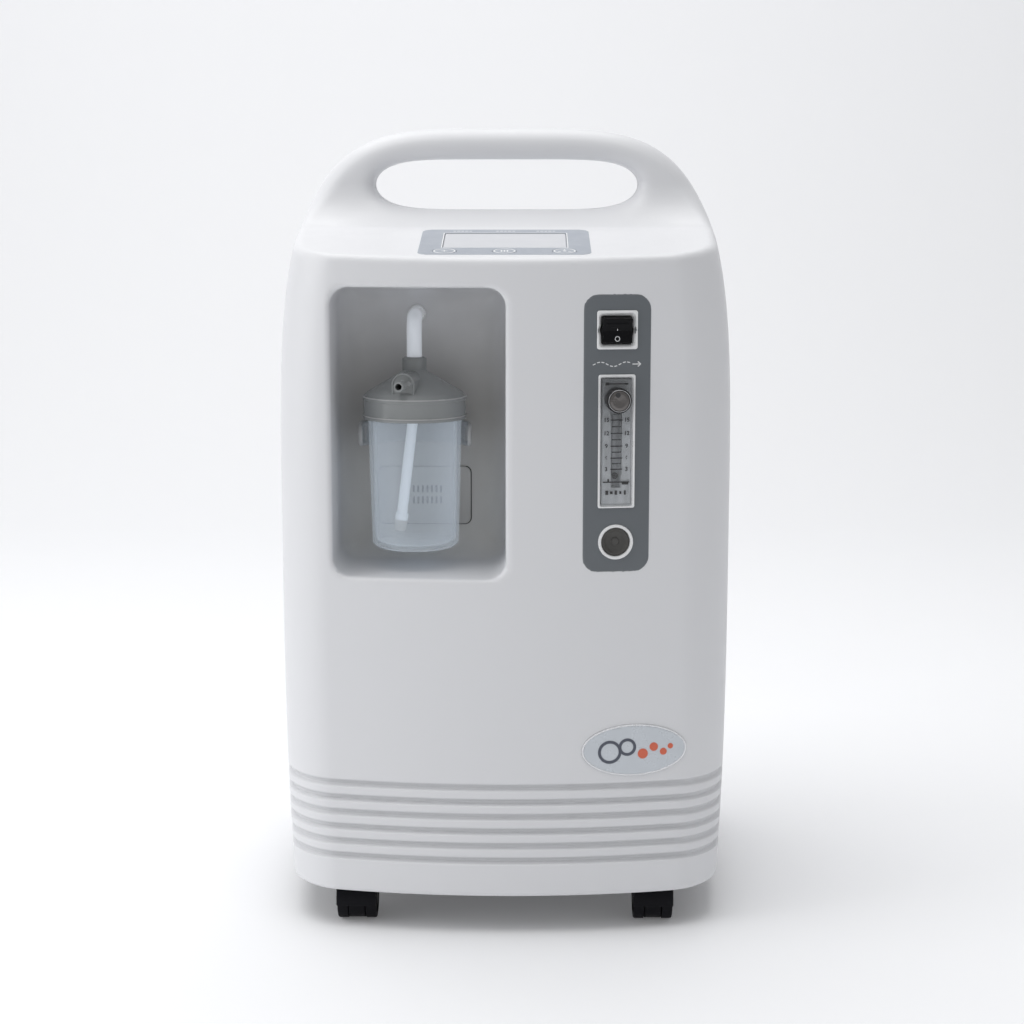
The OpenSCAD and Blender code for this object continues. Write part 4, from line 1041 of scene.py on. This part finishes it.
def build_badge():
    low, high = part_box("badge_plate")
    mid_x, mid_z = 98.4 * MM, (low.z + high.z) / 2
    half_w, half_h = 40 * MM, (high.z - low.z) / 2
    lines = (np.arange(low.x - 2 * MM, high.x + 2.5 * MM, 0.9 * MM),
             np.arange(low.y - 1.5 * MM, high.y + 2 * MM, 0.4 * MM),
             np.arange(low.z - 2 * MM, high.z + 2.5 * MM, 0.9 * MM))

    def plate(x, y, z):
        edge = oval_field(x - mid_x, z - mid_z, half_w - 1.1 * MM, half_h - 1.1 * MM)
        return round_max(skin_layer(x, y, z, -1 * MM, 0.55 * MM), edge, 0.3 * MM)

    def rim(x, y, z):
        edge = np.abs(oval_field(x - mid_x, z - mid_z, half_w - 0.75 * MM, half_h - 0.75 * MM)) - 0.7 * MM
        return round_max(skin_layer(x, y, z, -1 * MM, 0.85 * MM), edge, 0.4 * MM)

    piece = field_piece("badge_plate_oval", plate, lines)
    dress(piece, "cabinet", "badge_foil", badge_silver, "badge_plate")
    dress(field_piece("badge_rim", rim, lines), "cabinet", "badge_foil", badge_rim)
    at = on_front(mid_x, mid_z) @ shift(0, -0.5, 0) @ STAND_UP
    bubbles = [(ring_loop(x, y, r), ring_loop(x, y, r - 2.2))
               for x, y, r in ((-19, -1, 9), (-5.5, 2.5, 6.8))]
    dots = [ring_loop(x, y, r) for x, y, r in ((6.5, -3, 3.9), (15, 2, 3.3), (22.5, -2, 2.7), (28, 2, 2.1))]
    for name, loops, rings, material in (("badge_rings", [], bubbles, print_slate),
                                         ("badge_dots", dots, [], print_orange)):
        piece = prints(name, loops, rings, 0.3)
        for vert in piece.data.vertices:
            vert.co.z -= vert.co.x ** 2 / (2 * FRONT_R)
        dress(place(piece, at), "cabinet", "badge_foil", material)


# ---------- display ----------

OVERLAY_HALF_D = 46 * MM
WINDOW_HALF_W = 46.5 * MM
WINDOW_HALF_D = 26.5 * MM
WINDOW_OFF = 5.5 * MM
KEY_OFF = -34 * MM
KEY_R = 9 * MM


def build_display():
    def film(x, y, z):
        edge = rect_field(x, y, 64 * MM, OVERLAY_HALF_D, 8 * MM)
        d = round_max(np.abs(z + 0.35 * MM) - 0.6 * MM, edge, 0.25 * MM)
        window = rect_field(x, y - WINDOW_OFF, WINDOW_HALF_W, WINDOW_HALF_D, 1.5 * MM)
        d = np.maximum(d, -window)
        for node in KEY_NODES:
            d = np.maximum(d, KEY_R + 0.15 * MM - np.hypot(x - middle(node).x, y - KEY_OFF))
        return d

    lines = span_lines((-66, 66.5, 1.2), (-48, 49, 1.2), (-2, 1.5, 0.35))
    mould("display_overlay_film", film, lines, DISPLAY_AT,
          "cabinet", "overlay_film", overlay_grey, "display_overlay")

    def lens(x, y, z):
        edge = rect_field(x, y - WINDOW_OFF, WINDOW_HALF_W - 0.15 * MM, WINDOW_HALF_D - 0.15 * MM, 1.5 * MM)
        return round_max(np.abs(z + 1.4 * MM) - 1.3 * MM, edge, 0.3 * MM)

    lines = span_lines((-48, 48.5, 1.5), (-24, 35, 1.5), (-4, 1.5, 0.5))
    mould("display_lens", lens, lines, DISPLAY_AT, "cabinet", "display_lens", lens_pale, "display_window")

    labels = [bar_loop(x + 3.1 * k, 39.5, 2.0 + 0.5 * (k % 2), 1.7) for x in (-33, 0, 31)
              for k in range(-2, 3)]
    half_w, half_d = WINDOW_HALF_W / MM, WINDOW_HALF_D / MM
    square = ((-1, -1), (1, -1), (1, 1), (-1, 1))
    border = [[(u * (half_w + grow), WINDOW_OFF / MM + v * (half_d + grow)) for u, v in square]
              for grow in (0.9, 0.1)]
    stamp("display_labels", labels, [tuple(border)], 0.05, DISPLAY_AT @ shift(0, 0, 0.25),
          "cabinet", "trim_white", print_white)


def build_keys():
    icons = {
        "key_left": [bar_loop(0, 0, 1.1, 4.6), bar_loop(0, 0, 4.6, 1.1)],
        "key_middle": [bar_loop(x, 0, 1.2, 5.4) for x in (-2.2, 0, 2.2)],
        "key_right": [ring_loop(0, 0, 1.5), bar_loop(0, 4.2, 1.1, 2.6), bar_loop(-3.7, -2.1, 1.1, 2.6, 120),
                      bar_loop(3.7, -2.1, 1.1, 2.6, 240)],
    }
    rim = (ring_loop(0, 0, 8.2), ring_loop(0, 0, 7.2))
    disc = [(0.02, -2.9, 0), (8.9, -2.9, 0.2), (8.9, 0.25, 0.5), (0.02, 0.3, 0)]
    for node, loops in icons.items():
        at = DISPLAY_AT @ Matrix.Translation((middle(node).x, KEY_OFF, 0))
        turn(node + "_cap", disc, at, node, "overlay_film", overlay_grey, node, segments=64)
        stamp(node + "_icon", loops, [rim], 0.05, at @ shift(0, 0, 0.29), node, "trim_white", print_white)


# ---------- humidifier ----------

BOTTLE_X = middle("bottle_jar").x
BOTTLE_Y = middle("bottle_jar").y
BOTTLE_AT = Matrix.Translation((BOTTLE_X, BOTTLE_Y, 0))
LID_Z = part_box("bottle_lid")[0].z / MM
LID_R = (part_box("bottle_lid")[1].x - BOTTLE_X) / MM
JAR_R = (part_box("bottle_jar")[1].x - BOTTLE_X) / MM
JAR_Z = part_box("bottle_jar")[0].z / MM
OUTLET_TURN = math.radians(-12)
OUTLET_H = 28 * MM          # height of the outlet above the lower edge of the lid


def build_jar():
    z0, z1 = JAR_Z, LID_Z
    outline = [(0.02, z0 + 1.2, 0), (22, z0 + 1.2, 1), (24, z0, 0.6), (29.5, z0, 1.5), (33.2, z0 + 2.6, 4),
               (JAR_R - 0.1, z1 - 0.4, 0.3), (JAR_R - 1.7, z1 - 0.3, 0.2), (JAR_R - 1.7, z1 + 8.8, 0.4),
               (JAR_R - 3.8, z1 + 8.8, 0.4), (JAR_R - 3.8, z1 - 3, 1), (31.2, z0 + 6, 4), (27, z0 + 3.6, 2),
               (0.02, z0 + 4.2, 0)]
    turn("bottle_jar_moulding", outline, BOTTLE_AT,
         "humidifier_jar", "jar_plastic", jar_veil, "bottle_jar", segments=128)


def raised(outline, height):
    return [(r, h + height, bend) for r, h, bend in outline]


def build_lid():
    rim, inner = LID_R, JAR_R - 1.2
    neck = [(3.7, 11, 0), (3.7, 40, 0.2), (5.9, 40, 0.2), (5.9, 46.8, 0.3), (7.4, 46.8, 0.5),
            (8.8, 45.4, 0.5), (8.8, 37, 0.8)]
    cone = [(10.6, 35.4, 1.5), (rim - 3.4, 20.4, 3), (rim - 0.7, 17.6, 0.6), (rim, 16.6, 0.4)]
    band = [(rim, 14.6, 0.3), (rim - 0.5, 14.1, 0.2), (rim - 0.5, 2.9, 0.2), (rim, 2.4, 0.3),
            (rim, 0.1, 0.4), (inner, 0.1, 0.3), (inner, 11, 0)]
    turn("bottle_lid_turned", raised(neck + cone + band, LID_Z), BOTTLE_AT,
         "humidifier_lid", "lid_plastic", lid_grey, "bottle_lid", segments=144)
    # painted highlights: lighter rings along the top and bottom edges of the lid band
    for h in (2.6, 16.9):
        highlight_bead = [(rim - 1, h - 0.5, 0), (rim, h - 0.5, 0.2), (rim, h + 0.5, 0.2), (rim - 1, h + 0.5, 0)]
        turn("bottle_lid_highlight_bead", raised(highlight_bead, LID_Z), BOTTLE_AT,
             "humidifier_lid", "lid_plastic", clip_grey, segments=144)

    ux, uy = math.sin(OUTLET_TURN), -math.cos(OUTLET_TURN)
    z0 = LID_Z * MM

    def outlet(x, y, z):
        h = z - z0
        u = x * ux + y * uy
        v = -x * uy + y * ux
        arch = np.where(h > OUTLET_H, np.hypot(v, h - OUTLET_H) - 9 * MM, np.abs(v) - 9 * MM)
        block = round_max(arch, slab(u, *mm(8, 34)), 1.1 * MM)
        block = np.maximum(block, 14 * MM - h)
        inset = round_max(arch + 1.5 * MM, 33.1 * MM - u, 0.3 * MM)
        d = np.maximum(block, -np.maximum(inset, 17 * MM - h))
        w = np.hypot(v, h - OUTLET_H)
        barb = 0.35 * MM * np.cos((u - 33 * MM) / (3.2 * MM) * 2 * math.pi)
        nozzle = round_max(w - 3.6 * MM - barb, slab(u, *mm(25, 46)), 0.5 * MM)
        plug = round_max(np.hypot(v - 5.2 * MM, h - OUTLET_H - 1.5 * MM) - 1.9 * MM, u - 36.5 * MM, 0.8 * MM)
        plug = np.maximum(plug, 25 * MM - u)
        d = round_min(d, np.minimum(nozzle, plug), 0.5 * MM)
        ribs = np.maximum(np.maximum(np.abs(np.abs(x) - 8.3 * MM) - 0.8 * MM, np.abs(y) - 3 * MM),
                          slab(h, *mm(34, 46)))
        d = np.minimum(d, ribs)
        return np.maximum(d, -np.maximum(w - 2.4 * MM, 14 * MM - u))

    low, high = (-20 * MM, -47 * MM, z0 + 12 * MM), (12 * MM, 4 * MM, z0 + 47 * MM)
    mould("bottle_lid_outlet", outlet, uniform_lines(low, high, 0.6 * MM), BOTTLE_AT,
          "humidifier_lid", "lid_plastic", lid_grey)


def build_tubes():
    wall_y = RECESS_LOW.y
    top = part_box("elbow_tube")[1].z - 5.85 * MM
    start = (BOTTLE_X, BOTTLE_Y, (LID_Z + 40.3) * MM)
    corner = (BOTTLE_X, BOTTLE_Y, top)
    path = arc_path(start, [(corner, 13 * MM), ((BOTTLE_X, wall_y - 2 * MM, top), 0)], 12)
    piece = sweep("elbow_tube_bent", path, 5.8 * MM, 3.8 * MM, 40)
    dress(piece, "humidifier_lid", "clear_tube", tube_veil, "elbow_tube")
    core = [(0.02, 0, 0), (3.6, 0, 0.2), (3.6, 9, 0.3), (2.6, 10, 0.3), (0.02, 10, 0)]
    turn("elbow_core", core, Matrix.Translation((BOTTLE_X, BOTTLE_Y, (LID_Z + 40.4) * MM)),
         "humidifier_lid", "lid_plastic", clip_grey, segments=40)
    flange = [(2.2, -0.1, 0), (2.2, 17.8, 0.2), (3.4, 17.8, 0.4), (3.4, 1.6, 0), (6.6, 1.6, 0.5),
              (7.2, 0, 0.3)]
    at = Matrix.Translation((BOTTLE_X, wall_y, top)) @ STAND_UP
    turn("wall_spigot_ring", flange, at, "cabinet", "trim_white", trim_white, "wall_spigot", segments=64)
    carry("dip_tube", dip_veil)
    carry("diffuser", soft_white)


def build_clip():
    mid = middle("bottle_clip")

    def field(x, y, z):
        r = np.hypot(x, y)
        away = np.degrees(np.arctan2(np.abs(x), np.maximum(y, -0.02)))
        centre = (JAR_R + 2.2 + 3.6 * smoothstep(58, 88, away)) * MM
        band = np.abs(r - centre) - 1.7 * MM
        ends = rect_field(y - 22.5 * MM, z, *mm(26, 9.6, 9.4))
        dish = 1.1 * MM * (1 - smoothstep(-4.5 * MM, -2.5 * MM, ends)) * (y < 8 * MM)
        arms = round_max(band + dish, ends, 1.2 * MM)
        foot = box_field(x, y, z, mm(-16, 36, -9), mm(16, 45, 9), 3 * MM)
        return round_min(arms, foot, 2 * MM)

    lines = uniform_lines(mm(-44, -4, -11), mm(44, 45, 11), 0.9 * MM)
    at = BOTTLE_AT @ Matrix.Translation((0, 0, mid.z))
    mould("bottle_clip_moulding", field, lines, at, "cabinet", "lid_plastic", clip_grey, "bottle_clip")


def build_filter_cover():
    low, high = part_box("filter_cover")
    mid = (low + high) / 2
    half_w, half_h = (high.x - low.x) / 2, (high.z - low.z) / 2

    def plate(x, y, z):
        edge = rect_field(x, z, half_w - 0.7 * MM, half_h - 0.7 * MM, 5 * MM)
        d = round_max(edge, np.abs(y) - 0.85 * MM, 0.5 * MM)
        pitch = 3.6 * MM
        slot_x = np.clip(np.round((x - 2 * MM) / pitch), -3, 3) * pitch + 2 * MM
        for row in (-4 * MM, 5 * MM):
            d = np.maximum(d, -rect_field(x - slot_x, z - row, *mm(0.8, 3.1, 0.7)))
        return d

    lines = span_lines((-39, 39, 0.6), (-1.7, 1.8, 0.5), (-25.5, 26, 0.8))
    # the plate's colour is greyed with painted shade, as is the bay around it
    mould("filter_cover_plate", plate, lines, Matrix.Translation(mid),
          "cabinet", "cover_grey", clip_white, "filter_cover")

    # A dark sheet behind the cover, seen as a thin line round it: painted shadow in the gap.
    def seam(x, y, z):
        return np.maximum(rect_field(x, z, half_w, half_h, 5.5 * MM), np.abs(y - 0.4 * MM) - 0.4 * MM)

    lines = span_lines((-39, 39, 1.3), (-1.2, 1.8, 0.35), (-25.5, 26, 1.3))
    mould("filter_cover_seam", seam, lines, Matrix.Translation(mid), "cabinet", "cover_grey", seam_dark)


# ---------- casters ----------

def build_casters():
    wheel = [(0.02, -4.1, 0), (9, -4.1, 0.5), (10, -3.2, 0.5), (15.5, -3.2, 0.5), (16.4, -4.1, 0.4),
             (19, -4.1, 0.5), (19, 4.1, 2.6), (15.5, 4.1, 0.6), (15, 3.0, 0.5), (10, 3.0, 0.5),
             (9, 4.0, 0.5), (0.02, 4.0, 0)]
    rod = [(0.02, -10, 0), (2.5, -10, 0), (2.5, 10, 0), (0.02, 10, 0)]
    for corner in CORNERS:
        axle = middle(f"caster_{corner}_wheels")

        def fork(x, y, z):
            r = np.hypot(y, z)
            web = round_max(r - 18.5 * MM, np.abs(x) - 6.5 * MM, 0.5 * MM)
            hood = round_max(np.abs(r - 21 * MM) - 1.1 * MM, np.abs(x) - 15.4 * MM, 0.9 * MM)
            hood = round_max(hood, 2 * MM - z - 0.25 * np.abs(y), 0.8 * MM)
            rib = np.maximum(np.maximum(r - 20.5 * MM, np.abs(x) - 6.3 * MM), 4 * MM - z)
            d = round_min(np.minimum(web, hood), rib, 0.8 * MM)
            post = np.maximum(np.hypot(x, y - CASTER_TRAIL) - 5.4 * MM, slab(z, *mm(16, 42)))
            axle_hole = r - 2.7 * MM
            return np.maximum(np.minimum(d, post), -axle_hole)

        lines = uniform_lines(mm(-15.5, -22.5, -18), mm(15.5, 22.5, 42), 1.0 * MM)
        mould(f"caster_{corner}_hood", fork, lines, Matrix.Translation(axle),
              f"caster_{corner}", "caster_fork_plastic", black_nylon, f"caster_{corner}_fork")
        for side, label in ((-1, "left"), (1, "right")):
            at = Matrix.Translation(axle) @ shift(side * 11, 0, 0)
            nodes = (f"caster_{corner}_wheels",) if side == -1 else ()
            turn(f"caster_{corner}_wheel_{label}", wheel, at @ Matrix.Rotation(side * math.pi / 2, 4, "Y"),
                 f"wheels_{corner}", "wheel_rubber", wheel_rubber, *nodes, segments=72)
        turn(f"caster_{corner}_axle", rod, Matrix.Translation(axle) @ Matrix.Rotation(math.pi / 2, 4, "Y"),
             f"wheels_{corner}", "wheel_rubber", screw_zinc, segments=24)


# ---------- nodes kept as they are ----------

def carry(node, material, bevel=0.0):
    """Keeps a frame node, with its own finish and softened edges."""
    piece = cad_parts[node]
    piece.data.materials.clear()
    piece.data.materials.append(material)
    piece.data.polygons.foreach_set("use_smooth", [True] * len(piece.data.polygons))
    if bevel:
        soft = piece.modifiers.new("soft_edges", "BEVEL")
        soft.width = bevel
        soft.segments = 3
        soft.limit_method = "ANGLE"
        soft.angle_limit = math.radians(40)
        soft.harden_normals = True


KEPT = {
    "shell_screws": (screw_zinc, 0.2), "switch_body": (black_nylon, 0.3),
    "float_ball": (black_gloss, 0), "display_board": (board_green, 0), "lid_gasket": (soft_white, 0.3),
    "hepa_filter": (soft_white, 0.6), "intake_door": (door_white, 0.6),
    "foam_filter": (foam_black, 0.5), "power_inlet": (black_nylon, 0.5),
    "breaker_body": (black_nylon, 0.4), "breaker_button": (trim_white, 0.5),
    "chassis_frame": (sheet_zinc, 0.3), "compressor_motor": (motor_black, 0.8),
    "crankcases": (cast_alloy, 0.6), "cylinder_heads": (cast_alloy, 0.4),
    "crankshaft": (screw_zinc, 0.3), "piston_left": (cast_alloy, 0.4),
    "piston_right": (cast_alloy, 0.4), "vibration_mounts": (wheel_rubber, 0.5),
    "fan_housing": (black_nylon, 0.5), "fan_rotor": (black_nylon, 0.3), "cooling_coil": (copper, 0),
    "sieve_beds": (tank_alloy, 0.8), "product_tank": (tank_alloy, 0.8),
    "valve_block": (tank_alloy, 0.5), "control_board": (board_green, 0.3), "hoses": (hose_veil, 0),
}

build_shells()
build_pan()
build_panel_film()
build_switch()
build_flowmeter()
build_knob()
build_port()
build_badge()
build_display()
build_keys()
build_jar()
build_lid()
build_tubes()
build_clip()
build_filter_cover()
build_casters()
for node, (material, bevel) in KEPT.items():
    carry(node, material, bevel * MM)

# ---------- stage ----------

def build_stage():
    sweep_r = 0.9
    back_y = 1.6
    profile = [(-3.2, 0.0), (back_y, 0.0)]
    for step in range(1, 17):
        a = math.pi / 2 * step / 16
        profile.append((back_y + sweep_r * math.sin(a), sweep_r * (1 - math.cos(a))))
    profile.append((back_y + sweep_r, 4.5))
    verts = [(x, y, z) for y, z in profile for x in (-4, 4)]
    faces = [(2 * i, 2 * i + 1, 2 * i + 3, 2 * i + 2) for i in range(len(profile) - 1)]
    floor = mesh_piece("studio_sweep", verts, faces)
    paper = finish("studio_white", (0.885, 0.89, 0.905), 0.75, grain=60, depth=0.01, mottle=0.004, wear=0)
    paper.surface(Emission_Color=(0.99, 0.99, 1, 1), Emission_Strength=0.09)
    floor.data.materials.append(paper.material)


def add_light(name, location, target, size, power):
    lamp = bpy.data.lights.new(name, "AREA")
    lamp.shape = "RECTANGLE"
    lamp.size, lamp.size_y = size
    lamp.energy = power
    piece = add_object(name, lamp)
    piece.location = location
    piece.rotation_euler = (Vector(target) - Vector(location)).to_track_quat("-Z", "Y").to_euler()


def build_light():
    world = bpy.data.worlds.new("studio")
    world.use_nodes = True
    sky = world.node_tree.nodes["Background"]
    sky.inputs["Color"].default_value = (0.985, 0.99, 1, 1)
    sky.inputs["Strength"].default_value = 0.42
    bpy.context.scene.world = world
    add_light("top_softbox", (-0.3, 0.1, 2.6), (0, 0.1, 0), (2.6, 2.2), 42)
    add_light("left_softbox", (-2.4, -0.6, 1.2), (0, 0, 0.3), (1.6, 2.0), 21)


def build_camera():
    pitch = math.radians(9.3)
    yaw = math.radians(0.48)
    stand = (0.018, -1.625, 0.567)
    focal_length = 70.3125      # mm, on a sensor 36 mm wide
    data = bpy.data.cameras.new("photo_view")
    data.sensor_width = 36
    data.lens = focal_length
    camera = add_object("photo_view", data)
    camera.location = stand
    camera.rotation_euler = (math.pi / 2 - pitch, 0, yaw)
    bpy.context.scene.camera = camera


build_stage()
build_light()
build_camera()
bpy.context.scene.view_settings.view_transform = "Standard"
